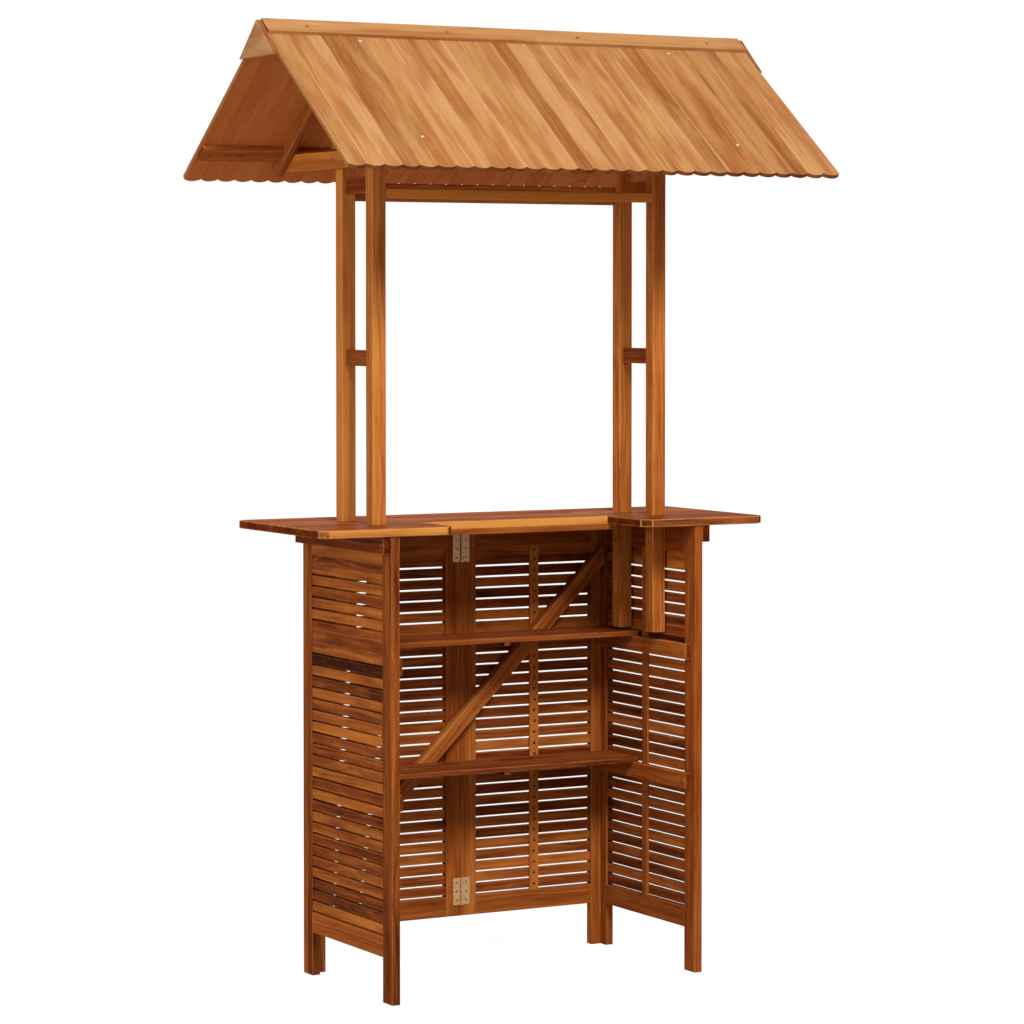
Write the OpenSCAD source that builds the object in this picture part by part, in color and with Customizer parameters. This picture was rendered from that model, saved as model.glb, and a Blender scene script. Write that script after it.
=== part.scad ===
// Outdoor bar table with a gabled board roof, in oiled hardwood.
// The origin is on the floor under the middle of the roof. X runs along the bar,
// -Y is the bartender's open side, +Y the customers' side, and Z is up.

/* [Cabinet] */
// Width over the two side panels
cab_w = 802; // [700:1:900]
// Depth over the side panels and the front panel
cab_d = 445; // [400:1:500]
// How far the cabinet's middle lies behind the roof's middle
cab_y = 26; // [0:1:40]
// Height of the underside of the counter
cab_h = 1031; // [960:1:1100]
// Thickness of posts, stiles and rails in the panels
panel_t = 20; // [18:0.5:24]
// Width of the side panels' near posts
near_post_w = 45; // [36:1:60]
// Width of the side panels' far posts
far_post_w = 25; // [22:1:40]
// Width of the front panel's end stiles
end_stile_w = 46; // [40:1:60]
// Width of the front panel's two hinge stiles
hinge_stile_w = 39.5; // [34:0.5:50]
// Gap between the two leaves of the front panel
leaf_gap = 1; // [0.6:0.1:2]
// Free height of the legs under the bottom rails
leg_h = 100; // [60:1:140]
// Height of the bottom rails
rail_h = 46; // [36:1:60]
// Height of the top rails
top_rail_h = 64; // [56:1:80]

/* [Slats] */
// Height of one slat
slat_h = 21.3; // [16:0.1:26]
// Open gap between slats
slat_gap = 4.5; // [3:0.1:9]
// Joint left where slats stand close together
closing_gap = 0.3; // [0.2:0.1:2]
// Height over the upper shelf's underside in which the side panels' slats stand close
side_close_h = 45; // [0:1:120]
// Height over the upper shelf's underside in which the front panel's slats stand close
front_close_h = 20; // [0:1:120]
// Thickness of the slats
slat_t = 12; // [10:0.5:13]
// How far the slats lie behind the outer face of the frames
slat_recess = 2; // [0.5:0.1:2]
// Depth of the grooves that hold the slats and the rail tenons
groove_depth = 8; // [5:0.5:10]
// Play of slats and tenons in their grooves
groove_fit = 0.3; // [0.2:0.05:0.6]
// Width of the strips that the slats are nailed to
mullion_w = 24; // [18:1:34]

/* [Shelves] */
// Height of the upper shelf's top
upper_shelf_z = 770; // [700:1:810]
// Height of the lower shelf's top
lower_shelf_z = 471; // [400:1:540]
// Thickness of the shelf boards
shelf_t = 12; // [10:1:20]
// Depth of each shelf
shelf_d = 149; // [110:1:170]
// Gap between a shelf's two boards
shelf_gap = 2; // [1:0.5:4]
// Clearance at each end of the shelves
shelf_play = 0.5; // [0.3:0.1:1.5]
// Height of the shelf battens
batten_h = 36; // [30:1:50]
// Thickness of the shelf battens
batten_t = 15; // [12:1:20]
// Inset of the battens' near ends from the side panels' near edges
batten_near_in = 17; // [2:1:30]
// Inset of the battens' far ends from the front panel
batten_far_in = 4; // [2:1:12]
// Width of the cleat under each shelf
cleat_w = 16; // [12:1:24]
// Thickness of the cleat under each shelf
cleat_t = 8; // [6:1:12]
// Place of the cleat to the right of the bar's middle
cleat_x = 27; // [10:1:60]
// Inset of that cleat's ends from the shelf's edges
cleat_end_in = 2; // [1:1:10]

/* [Counter] */
// Length of the counter
counter_l = 1142; // [1020:1:1200]
// How far the wings reach past the side panels at the open side
wing_lap = 4; // [2:1:20]
// Thickness of the counter
counter_t = 18; // [15:1:24]
// Width of the bartender's cut-out
cutout_w = 488; // [400:1:560]
// Depth of the bartender's cut-out
cutout_d = 164; // [120:1:180]
// Chamfer of the counter's corners
counter_chamfer = 20; // [10:1:30]
// Gap between the counter's boards
counter_gap = 0.5; // [0.3:0.1:1]
// Play of the roof posts in the counter's holes
post_hole_play = 0.5; // [0.3:0.1:1]
// Thickness of the batten under the middle board
counter_batten_t = 13; // [10:1:18]
// Width of the batten under the middle board
counter_batten_w = 40; // [30:1:60]
// How far that batten reaches under each wing
counter_batten_lap = 22; // [16:1:40]
// Height of the cleats outside the side panels
side_cleat_h = 38; // [30:1:50]
// Thickness of the cleats outside the side panels
side_cleat_t = 20; // [16:1:26]

/* [Brace] */
// Width of the diagonal brace
brace_w = 34; // [28:1:42]
// Thickness of the diagonal brace
brace_t = 30; // [24:1:34]
// Slope of the diagonal brace in degrees
brace_angle = 44.5; // [42:0.5:46]
// How far under the counter the brace crosses the bar's middle
brace_drop = 459; // [430:1:490]
// Gap between the brace's upper end and the side panel
brace_end_gap = 5; // [2:1:12]
// How far the brace's lower end passes the mullion's middle
brace_tail = 16; // [12:1:30]

/* [Hinges] */
// Height of a hinge
hinge_h = 64; // [50:1:80]
// Width of a hinge leaf from the pin
hinge_leaf_w = 22; // [16:1:28]
// Thickness of the hinge leaves
hinge_leaf_t = 1.6; // [1.2:0.1:2.4]
// Radius of the hinge knuckles
knuckle_r = 3; // [2.8:0.1:4]
// Radius of the hinge pins
hinge_pin_r = 1.5; // [1.2:0.1:1.8]
// Distance of the lower hinge from the stiles' lower ends
lower_hinge_in = 26; // [15:1:80]
// Distance of the upper hinge from the stiles' upper ends
upper_hinge_in = 33; // [15:1:80]
// Number of knuckles of a hinge
knuckle_n = 5; // [3:2:7]
// How far the hinge pins stand out of the knuckles
pin_reach = 1; // [0.5:0.5:2]
// Play of knuckles, pins and screws in the hinges
hinge_play = 0.1; // [0.05:0.05:0.2]
// Radius of the hinge screws' heads
hinge_screw_head_r = 2.6; // [2.2:0.1:3]
// Radius of the hinge screws' shanks
hinge_screw_r = 1.3; // [1:0.1:1.5]
// Length of the hinge screws
hinge_screw_l = 13; // [8:0.5:16]

/* [Roof posts] */
// Side of the square roof posts
post_w = 34; // [26:1:40]
// Distance of the posts' axes from the cabinet's middle in depth
post_y = 75; // [60:1:90]
// Gap between the posts' lower ends and the level of the upper shelf
post_foot_gap = 6; // [4:1:60]
// Thickness of the spacers between the posts
spacer_t = 16; // [12:1:24]
// Height of the lower spacers
lower_spacer_h = 36; // [24:1:50]
// Height of the lower spacers over the counter
lower_spacer_up = 351; // [200:1:450]
// Height of the upper spacers
upper_spacer_h = 38; // [24:1:40]
// Gap between the upper spacers and the roof ties
upper_spacer_gap = 19; // [10:1:30]
// Thickness of the two battens between the posts
top_batten_t = 15; // [12:1:20]
// Height of the batten between the near posts
near_batten_h = 22; // [16:1:30]
// Height of the batten between the far posts
far_batten_h = 42; // [20:1:50]
// How far the near posts' batten hangs under the roof ties
near_batten_drop = 70; // [45:1:150]
// How far the far posts' batten hangs under the roof ties
far_batten_drop = 72; // [50:1:150]

/* [Roof] */
// Length over the roof boards
roof_l = 1239; // [1100:1:1320]
// Depth of the roof from eave to eave
roof_d = 864; // [780:1:920]
// Overall height
overall_h = 2166; // [2120:1:2220]
// Slope of the roof in degrees
roof_pitch = 37; // [34:0.5:40]
// Number of boards on each slope
board_n = 29; // [20:1:32]
// Gap between roof boards
board_gap = 0.6; // [0.3:0.1:1.5]
// Thickness of the roof boards
board_t = 10; // [8:0.5:14]
// Radius of the boards' rounded ends
board_end_r = 33; // [23:0.5:45]
// Width of the ridge cap boards
cap_w = 42; // [34:1:60]
// Thickness of the ridge cap boards
cap_t = 9; // [6:1:14]
// Thickness of the gable plates
plate_t = 13; // [8:1:18]
// Height of the gable plates
plate_h = 82; // [70:1:110]
// Length of the gable plates' lower edges
plate_l = 180; // [150:1:240]
// How far the gable plates' tips lie under the ridge
plate_drop = 4; // [1:1:10]
// Thickness of the purlins
purlin_t = 15; // [12:1:18]
// Inset of the purlins' ends from the outermost boards' edges
purlin_end_in = 2; // [1:1:40]
// Width of the eave purlins
eave_purlin_w = 41; // [34:1:60]
// Distance of the eave purlins from the eaves along the slope
eave_purlin_in = 92; // [70:1:110]
// Width of the ridge purlins
ridge_purlin_w = 41; // [30:1:50]
// Distance of the ridge purlins from the ridge along the slope
ridge_purlin_s = 37; // [35:1:60]
// Width of the rafters
rafter_w = 20; // [16:1:26]
// Depth of the rafters
rafter_d = 30; // [28:1:38]
// Distance of the rafters' feet from the eaves along the slope
rafter_in = 58; // [30:1:80]
// Height of the roof ties
tie_h = 40; // [34:1:50]
// Thickness of the roof ties
tie_t = 15; // [12:1:20]
// Height of the ridge over the roof ties' undersides
tie_drop = 323; // [316:1:331]

/* [Wood screws] */
// Radius of the screws' shanks
screw_r = 1.9; // [1.5:0.1:2.2]
// Radius of the screws' heads
screw_head_r = 3.8; // [3:0.1:4.5]
// Height of the screws' heads
screw_head_h = 1.5; // [1:0.1:2]
// Play of the screws in their holes
screw_play = 0.1; // [0.05:0.05:0.2]
// Depth of the screws' threads in the piece behind
screw_bite = 14; // [10:0.5:16]
// Share of a thin piece's thickness that a screw's point goes into
thin_bite = 0.7; // [0.5:0.05:0.8]
// Distance of the panels' corner screws from the rails
corner_screw_in = 30; // [15:1:60]
// Distance of the brace's upper screw from the end stile's edge
brace_screw_in = 11; // [10:1:20]
// Distance of the counter batten's screws from the middle board's ends
counter_screw_in = 50; // [30:1:120]
// Distance of the roof screws from the rafters' inner faces
roof_screw_in = 4; // [4:1:12]
// Distance of the ridge caps' inner screws from the roof's middle
cap_screw_inner = 169; // [100:1:250]
// Distance of the ridge caps' outer screws from the roof's ends
cap_screw_outer = 100; // [40:1:150]

/* [Hidden] */
$fn = 48;

// Small overshoot of a cut past a face
cut = 1;

// Cabinet planes, measured from the cabinet's own middle
side_out = cab_w / 2;
side_in = side_out - panel_t;
near_y = -cab_d / 2;
far_y = cab_d / 2;
front_in = far_y - panel_t;
near_open = near_y + near_post_w;
far_open = front_in - far_post_w;
tenon = groove_depth - groove_fit;
mullion_t = panel_t - slat_recess - slat_t;

// Slats: as many open ones as fit under a closing slat of at least half the height
rail_top = leg_h + rail_h;
top_rail_z = cab_h - top_rail_h;
slat_pitch = slat_h + slat_gap;
slat_n = floor((top_rail_z - rail_top - slat_h / 2) / slat_pitch);
slats_top = rail_top + slat_n * slat_pitch;

// Front leaves
leaf_in = leaf_gap / 2 + hinge_stile_w;
leaf_out = side_out - end_stile_w;
leaf_mid = (leaf_in + leaf_out) / 2;

// Roof posts stand against the inner faces of the side panels
post_x = side_in - post_w / 2;
post_bottom_z = upper_shelf_z + post_foot_gap;
tie_z = overall_h - tie_drop;
tie_top = tie_z + tie_h;
lower_spacer_z = cab_h + counter_t + lower_spacer_up;
upper_spacer_z = tie_z - upper_spacer_gap - upper_spacer_h;
near_batten_z = tie_z - near_batten_drop;
far_batten_z = tie_z - far_batten_drop;

// Shelves lie in front of the brace, on their battens
shelf_far = front_in - brace_t;
shelf_near = shelf_far - shelf_d;

// Counter
counter_far = far_y;
counter_near = near_y - wing_lap;
counter_in = cutout_w / 2;
counter_end = counter_l / 2;
recess_y = counter_near + cutout_d;

// Roof, drawn from the apex where the boards' upper faces would meet
roof_apex = overall_h - cap_t / cos(roof_pitch);
slope_l = roof_d / 2 / cos(roof_pitch);
board_start = board_t * tan(roof_pitch) + board_gap;
board_pitch = roof_l / board_n;
board_w = board_pitch - board_gap;
eave_purlin_s = slope_l - eave_purlin_in - eave_purlin_w;
rafter_end = slope_l - rafter_in;
tie_x = side_in;
rafter_x = tie_x + tie_t;
rafter_screw_n = -board_t - (purlin_t + rafter_d) / 2;
rafter_screw_s = eave_purlin_s + eave_purlin_w;

// Colours
post_colour = "#b5713a";
rail_colour = "#94562e";
slat_colour = "#85441f";
shelf_colour = "#7a3c1c";
counter_colour = "#9a5a38";
board_colour = "#c98a52";
beam_colour = "#a4602f";
brass_colour = "#b08d4a";
steel_colour = "#b9bbbd";

// A box between two corners
module box(from, to) {
    translate(from)
        cube(to - from);
}

// Draws the right-hand piece as it is, or mirrored to the left
module on_side(s) {
    if (s < 0)
        mirror([1, 0, 0]) children();
    else
        children();
}

// Moves from the cabinet's own middle to the frame
module in_cabinet() {
    translate([0, cab_y, 0])
        children();
}

// Lays a piece on the far slope: y runs down the slope and z out of it
module on_far_slope() {
    translate([0, 0, roof_apex])
        rotate([-roof_pitch, 0, 0])
            children();
}

module on_near_slope() {
    mirror([0, 1, 0])
        on_far_slope() children();
}

// Heights of the slats; behind the upper shelf they reach up to the next one
module each_slat(close_h) {
    for (k = [0 : slat_n - 1]) {
        z = rail_top + slat_gap + k * slat_pitch;
        up = z + slat_h - upper_shelf_z + shelf_t;
        slat_at(z, up > 0 && up < close_h ? slat_pitch - closing_gap : slat_h) children();
    }
    slat_at(slats_top + closing_gap, top_rail_z - slats_top - 2 * closing_gap) children();
}

module slat_at(z, h) {
    translate([0, 0, z])
        linear_extrude(h) children();
}

// Wood screws point along z, with the underside of the head at z = 0
module screw(l) {
    translate([0, 0, -screw_head_h])
        cylinder(r = screw_head_r, h = screw_head_h);
    cylinder(r = screw_r, h = l);
}

module screw_hole(l) {
    translate([0, 0, -cut])
        cylinder(r = screw_r + screw_play, h = l + cut + screw_play);
}

// Heights of the screws that join the side panels to the front panel
stile_screw_z = [rail_top + corner_screw_in, cab_h / 2, top_rail_z - corner_screw_in];
stile_screw_l = panel_t + (far_post_w - groove_depth) * thin_bite;

module at_stile_screws(s) {
    for (z = stile_screw_z)
        translate([s * (side_out - panel_t / 2), far_y, z])
            rotate([90, 0, 0]) children();
}

// Screws through the roof posts into the top rails
post_screw_l = post_w + screw_bite;

module at_post_screws(s, y) {
    for (z = [top_rail_z + top_rail_h / 4, cab_h - top_rail_h / 4])
        translate([s * (side_in - post_w), y, z])
            rotate([0, s * 90, 0]) children();
}

// Screws through the ties into the roof posts
tie_screw_l = tie_t + screw_bite;

module at_tie_screw(s, y) {
    translate([s * (tie_x + tie_t), y, tie_z + tie_h / 2])
        rotate([0, -s * 90, 0]) children();
}

// Screws through the rafters into the ties
rafter_screw_l = rafter_w + tie_t * thin_bite;

module at_rafter_screw(s) {
    translate([s * (rafter_x + rafter_w), rafter_screw_s, rafter_screw_n])
        rotate([0, -s * 90, 0]) children();
}

// Screws through the boards and the purlins into the rafters
roof_screw_s = [ridge_purlin_s + ridge_purlin_w / 2, eave_purlin_s + eave_purlin_w / 2];
roof_screw_l = board_t + purlin_t + rafter_d / 3;

module at_roof_screws() {
    for (s = [-1, 1], along = roof_screw_s)
        translate([s * (rafter_x + roof_screw_in), along, 0])
            rotate([180, 0, 0]) children();
}

// Screws through the ridge caps into the boards
cap_screw_x = [cap_screw_inner, roof_l / 2 - cap_screw_outer];
cap_screw_l = cap_t + board_t * thin_bite;

module at_cap_screws() {
    for (s = [-1, 1], x = cap_screw_x)
        translate([s * x, cap_w / 2, cap_t])
            rotate([180, 0, 0]) children();
}

// Screws through the shelf battens into the side panels' posts
batten_screw_y = [(near_y + batten_near_in + near_open) / 2, front_in - far_post_w / 2];
batten_screw_l = batten_t + panel_t * thin_bite;

module at_batten_screws(s, shelf_z) {
    for (y = batten_screw_y)
        translate([s * (side_in - batten_t), y, shelf_z - shelf_t - batten_h / 2])
            rotate([0, s * 90, 0]) children();
}

// Screws up through the outer cleats into the counter's wings
cleat_screw_l = side_cleat_h + counter_t * thin_bite;

module at_cleat_screws(s) {
    for (y = [-cab_d / 3, cab_d / 3])
        translate([s * (side_out + side_cleat_t / 2), y, cab_h - side_cleat_h])
            children();
}

// Screws up through the counter batten
counter_screw_x = [counter_in - counter_screw_in, counter_in + counter_batten_lap / 2];
counter_screw_l = counter_batten_t + counter_t * thin_bite;

module at_counter_screws(s) {
    for (x = counter_screw_x)
        translate([s * x, recess_y + counter_batten_w / 2, cab_h - counter_batten_t])
            children();
}

// Screws through the brace: x along the bar and length of each
brace_mid_z = cab_h - brace_drop;
brace_screws = [
    [-leaf_mid, brace_t + mullion_t * thin_bite],
    [-hinge_stile_w / 2 - leaf_gap, brace_t + screw_bite],
    [hinge_stile_w / 2 + leaf_gap, brace_t + screw_bite],
    [leaf_out + brace_screw_in, brace_t + screw_bite]
];

module at_brace_screw(i) {
    x = brace_screws[i][0];
    translate([x, front_in - brace_t, brace_mid_z + x * tan(brace_angle)])
        rotate([-90, 0, 0]) children();
}

// Side panel pieces, drawn for the right side in the cabinet's place
module side_groove(y) {
    box([side_out - slat_recess - slat_t - groove_fit / 2, y, leg_h],
        [side_out - slat_recess + groove_fit / 2, y + groove_depth + cut, cab_h + cut]);
}

module near_post(s) {
    color(post_colour) in_cabinet() difference() {
        on_side(s) box([side_in, near_y, 0], [side_out, near_open, cab_h]);
        on_side(s) side_groove(near_open - groove_depth);
        at_batten_screws(s, upper_shelf_z) screw_hole(batten_screw_l);
        at_batten_screws(s, lower_shelf_z) screw_hole(batten_screw_l);
    }
}

module far_post(s) {
    color(post_colour) in_cabinet() difference() {
        on_side(s) box([side_in, far_open, 0], [side_out, front_in, cab_h]);
        on_side(s) side_groove(far_open - cut);
        at_batten_screws(s, upper_shelf_z) screw_hole(batten_screw_l);
        at_batten_screws(s, lower_shelf_z) screw_hole(batten_screw_l);
        at_stile_screws(s) screw_hole(stile_screw_l);
    }
}

// A rail with a tenon in each post
module side_rail_body(z0, z1) {
    box([side_in, near_open, z0], [side_out, far_open, z1]);
    box([side_out - slat_recess - slat_t, near_open - tenon, z0],
        [side_out - slat_recess, far_open + tenon, z1]);
}

module side_top_rail(s) {
    color(rail_colour) in_cabinet() difference() {
        on_side(s) side_rail_body(top_rail_z, cab_h);
        at_post_screws(s, -post_y) screw_hole(post_screw_l);
        at_post_screws(s, post_y) screw_hole(post_screw_l);
    }
}

module side_bottom_rail(s) {
    color(rail_colour) in_cabinet()
        on_side(s) side_rail_body(leg_h, rail_top);
}

module side_slats(s) {
    color(slat_colour) in_cabinet() on_side(s) each_slat(side_close_h)
        translate([side_out - slat_recess - slat_t, near_open - tenon])
            square([slat_t, far_open - near_open + 2 * tenon]);
}

module side_mullion(s) {
    y = (near_open + far_open) / 2;
    color(rail_colour) in_cabinet() on_side(s)
        box([side_in, y - mullion_w / 2, rail_top],
            [side_in + mullion_t, y + mullion_w / 2, top_rail_z]);
}

// Front panel pieces, drawn for the right leaf in the cabinet's place
module front_groove(x) {
    box([x, far_y - slat_recess - slat_t - groove_fit / 2, leg_h],
        [x + groove_depth + cut, far_y - slat_recess + groove_fit / 2, cab_h + cut]);
}

module end_stile(s) {
    color(post_colour) in_cabinet() difference() {
        on_side(s) box([leaf_out, front_in, 0], [side_out, far_y, cab_h]);
        on_side(s) front_groove(leaf_out - cut);
        at_stile_screws(s) screw_hole(stile_screw_l);
        if (s > 0)
            at_brace_screw(3) screw_hole(brace_screws[3][1]);
    }
}

module hinge_stile(s) {
    color(post_colour) in_cabinet() difference() {
        on_side(s) box([leaf_gap / 2, front_in, leg_h], [leaf_in, far_y, cab_h]);
        on_side(s) front_groove(leaf_in - groove_depth);
        on_side(s) at_hinge_screws() hinge_screw_hole();
        at_brace_screw(s < 0 ? 1 : 2) screw_hole(brace_screws[1][1]);
    }
}

module front_rail(s, z0, z1) {
    color(rail_colour) in_cabinet() on_side(s) {
        box([leaf_in, front_in, z0], [leaf_out, far_y, z1]);
        box([leaf_in - tenon, far_y - slat_recess - slat_t, z0],
            [leaf_out + tenon, far_y - slat_recess, z1]);
    }
}

module front_slats(s) {
    color(slat_colour) in_cabinet() on_side(s) each_slat(front_close_h)
        translate([leaf_in - tenon, far_y - slat_recess - slat_t])
            square([leaf_out - leaf_in + 2 * tenon, slat_t]);
}

module front_mullion(s) {
    color(rail_colour) in_cabinet() difference() {
        on_side(s)
            box([leaf_mid - mullion_w / 2, front_in, rail_top],
                [leaf_mid + mullion_w / 2, front_in + mullion_t, top_rail_z]);
        if (s < 0)
            at_brace_screw(0) screw_hole(brace_screws[0][1]);
    }
}

// Hinges: the pin stands in front of the joint between the leaves
hinge_zs = [leg_h + lower_hinge_in, cab_h - upper_hinge_in - hinge_h];
knuckle_l = hinge_h / knuckle_n;
knuckle_y = front_in - knuckle_r;
hinge_screw_at = [0.17, 0.5, 0.83];
hinge_screw_x = knuckle_r + (hinge_leaf_w - knuckle_r) / 2;

module at_hinge_screws() {
    for (z0 = hinge_zs, f = hinge_screw_at)
        translate([hinge_screw_x, front_in - hinge_leaf_t, z0 + f * hinge_h])
            rotate([-90, 0, 0]) children();
}

// A countersunk screw, its head flush with the hinge leaf
module hinge_screw() {
    cylinder(r1 = hinge_screw_head_r, r2 = hinge_screw_r, h = hinge_leaf_t);
    cylinder(r = hinge_screw_r, h = hinge_screw_l);
}

module hinge_screw_hole() {
    translate([0, 0, -cut])
        cylinder(r = hinge_screw_r + hinge_play / 2, h = hinge_screw_l + cut + hinge_play);
}

// Leaf of one hinge on the right; its knuckles are those with the given parity
module hinge_leaf(z0, parity) {
    difference() {
        union() {
            box([0, front_in - hinge_leaf_t, z0], [hinge_leaf_w, front_in, z0 + hinge_h]);
            for (k = [parity : 2 : knuckle_n - 1])
                translate([0, knuckle_y, z0 + k * knuckle_l])
                    cylinder(r = knuckle_r, h = knuckle_l);
        }
        for (k = [1 - parity : 2 : knuckle_n - 1])
            translate([0, knuckle_y, z0 + k * knuckle_l - hinge_play])
                cylinder(r = knuckle_r + leaf_gap / 2, h = knuckle_l + 2 * hinge_play);
        for (k = [1 - parity : 2 : knuckle_n - 1])
            box([-cut, front_in - hinge_leaf_t - cut, z0 + k * knuckle_l - hinge_play],
                [leaf_gap / 2, front_in + cut, z0 + (k + 1) * knuckle_l + hinge_play]);
        translate([0, knuckle_y, z0 - cut])
            cylinder(r = hinge_pin_r + hinge_play / 2, h = hinge_h + 2 * cut);
        for (f = hinge_screw_at)
            translate([hinge_screw_x, front_in - hinge_leaf_t, z0 + f * hinge_h])
                rotate([-90, 0, 0]) {
                    cylinder(r1 = hinge_screw_head_r + hinge_play,
                             r2 = hinge_screw_r + hinge_play, h = hinge_leaf_t);
                    hinge_screw_hole();
                }
    }
}

module hinge_leaves(s, parity) {
    color(brass_colour) in_cabinet() on_side(s)
        for (z0 = hinge_zs)
            hinge_leaf(z0, parity);
}

module hinge_pins() {
    color(brass_colour) in_cabinet()
        for (z0 = hinge_zs)
            translate([0, knuckle_y, z0 - pin_reach])
                cylinder(r = hinge_pin_r, h = hinge_h + 2 * pin_reach);
}

module hinge_screws() {
    color(brass_colour) in_cabinet()
        for (s = [-1, 1])
            on_side(s) at_hinge_screws() hinge_screw();
}

// The brace leans over both leaves and holds the joint between them straight
brace_low_x = -leaf_mid - brace_tail;
brace_high_x = side_in - brace_end_gap;

module diagonal_brace() {
    rise = tan(brace_angle);
    half = brace_w / 2 / cos(brace_angle);
    color(post_colour) in_cabinet() difference() {
        translate([0, front_in, brace_mid_z])
            rotate([90, 0, 0])
                linear_extrude(brace_t)
                    polygon([
                        [brace_low_x, brace_low_x * rise - half],
                        [brace_high_x, brace_high_x * rise - half],
                        [brace_high_x, brace_high_x * rise + half],
                        [brace_low_x, brace_low_x * rise + half]
                    ]);
        for (i = [0 : len(brace_screws) - 1])
            at_brace_screw(i) screw_hole(brace_screws[i][1]);
    }
}

// Shelves and what carries them
module shelf_battens(shelf_z) {
    top = shelf_z - shelf_t;
    color(rail_colour) in_cabinet()
        for (s = [-1, 1])
            difference() {
                on_side(s)
                    box([side_in - batten_t, near_y + batten_near_in, top - batten_h],
                        [side_in, front_in - batten_far_in, top]);
                at_batten_screws(s, shelf_z) screw_hole(batten_screw_l);
            }
}

module shelf(shelf_z) {
    half = side_in - shelf_play;
    board_d = (shelf_d - shelf_gap) / 2;
    color(shelf_colour) in_cabinet() {
        for (y = [shelf_near, shelf_far - board_d])
            box([-half, y, shelf_z - shelf_t], [half, y + board_d, shelf_z]);
        box([cleat_x - cleat_w / 2, shelf_near + cleat_end_in, shelf_z - shelf_t - cleat_t],
            [cleat_x + cleat_w / 2, shelf_far - cleat_end_in, shelf_z - shelf_t]);
    }
}

// Counter
module counter_middle() {
    half = counter_in - counter_gap / 2;
    color(counter_colour) in_cabinet() difference() {
        box([-half, recess_y, cab_h], [half, counter_far, cab_h + counter_t]);
        for (s = [-1, 1])
            at_counter_screws(s) screw_hole(counter_screw_l);
    }
}

module wing_outline() {
    c = counter_chamfer;
    inner = counter_in + counter_gap / 2;
    polygon([
        [inner, counter_near + c], [inner + c, counter_near],
        [counter_end - c, counter_near], [counter_end, counter_near + c],
        [counter_end, counter_far - c], [counter_end - c, counter_far],
        [inner, counter_far]
    ]);
}

module counter_wing(s) {
    hole = post_w + 2 * post_hole_play;
    color(counter_colour) in_cabinet() difference() {
        on_side(s)
            translate([0, 0, cab_h])
                linear_extrude(counter_t)
                    difference() {
                        wing_outline();
                        for (y = [-post_y, post_y])
                            translate([post_x, y])
                                square(hole, center = true);
                    }
        at_cleat_screws(s) screw_hole(cleat_screw_l);
        at_counter_screws(s) screw_hole(counter_screw_l);
    }
}

module counter_batten() {
    half = counter_in + counter_batten_lap;
    color(rail_colour) in_cabinet() difference() {
        box([-half, recess_y, cab_h - counter_batten_t],
            [half, recess_y + counter_batten_w, cab_h]);
        for (s = [-1, 1])
            at_counter_screws(s) screw_hole(counter_screw_l);
    }
}

module counter_cleats() {
    color(shelf_colour) in_cabinet()
        for (s = [-1, 1])
            difference() {
                on_side(s)
                    box([side_out, near_y, cab_h - side_cleat_h],
                        [side_out + side_cleat_t, far_y, cab_h]);
                at_cleat_screws(s) screw_hole(cleat_screw_l);
            }
}

// Roof posts with their spacers and battens
module roof_post(s, y) {
    color(post_colour) in_cabinet() difference() {
        on_side(s)
            box([side_in - post_w, y - post_w / 2, post_bottom_z],
                [side_in, y + post_w / 2, tie_top]);
        at_post_screws(s, y) screw_hole(post_screw_l);
        at_tie_screw(s, y) screw_hole(tie_screw_l);
    }
}

module spacers(z, h) {
    half_l = post_y - post_w / 2;
    color(shelf_colour) in_cabinet()
        for (s = [-1, 1])
            on_side(s)
                box([post_x - spacer_t / 2, -half_l, z], [post_x + spacer_t / 2, half_l, z + h]);
}

module near_top_batten() {
    half = side_in - post_w;
    y = -post_y - post_w / 2;
    color(beam_colour) in_cabinet()
        box([-half, y, near_batten_z], [half, y + top_batten_t, near_batten_z + near_batten_h]);
}

module far_top_batten() {
    half = side_in - post_w;
    y = post_y + post_w / 2;
    color(beam_colour) in_cabinet()
        box([-half, y - top_batten_t, far_batten_z], [half, y, far_batten_z + far_batten_h]);
}

// Ties lie outside the posts, with their ends cut to sit under the eave purlins
module roof_tie(s) {
    under = -board_t - purlin_t;
    // Half length of the tie at height z, along the underside of the purlins
    function reach(z) = (roof_apex + under / cos(roof_pitch) - z) / tan(roof_pitch);
    color(beam_colour) difference() {
        on_side(s)
            translate([tie_x, 0, 0])
                rotate([90, 0, 90])
                    linear_extrude(tie_t)
                        polygon([
                            [-reach(tie_z), tie_z], [reach(tie_z), tie_z],
                            [reach(tie_top), tie_top], [-reach(tie_top), tie_top]
                        ]);
        in_cabinet() {
            at_tie_screw(s, -post_y) screw_hole(tie_screw_l);
            at_tie_screw(s, post_y) screw_hole(tie_screw_l);
        }
        on_far_slope() at_rafter_screw(s) screw_hole(rafter_screw_l);
        on_near_slope() at_rafter_screw(s) screw_hole(rafter_screw_l);
    }
}

// Section of a rafter down the slope, notched over both purlins
module rafter_section() {
    top = -board_t;
    low = top - rafter_d;
    notch = top - purlin_t;
    eave_end = eave_purlin_s + eave_purlin_w;
    polygon([
        [-top * tan(roof_pitch), top], [ridge_purlin_s, top], [ridge_purlin_s, notch],
        [ridge_purlin_s + ridge_purlin_w, notch], [ridge_purlin_s + ridge_purlin_w, top],
        [eave_purlin_s, top], [eave_purlin_s, notch], [eave_end, notch], [eave_end, top],
        [rafter_end, top], [rafter_end, low], [-low * tan(roof_pitch), low]
    ]);
}

module rafter(s) {
    difference() {
        on_side(s)
            translate([rafter_x, 0, 0])
                rotate([90, 0, 90])
                    linear_extrude(rafter_w) rafter_section();
        at_rafter_screw(s) screw_hole(rafter_screw_l);
        at_roof_screws() screw_hole(roof_screw_l);
    }
}

module near_rafter(s) {
    color(beam_colour) on_near_slope() rafter(s);
}

module far_rafter(s) {
    color(beam_colour) on_far_slope() rafter(s);
}

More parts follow.
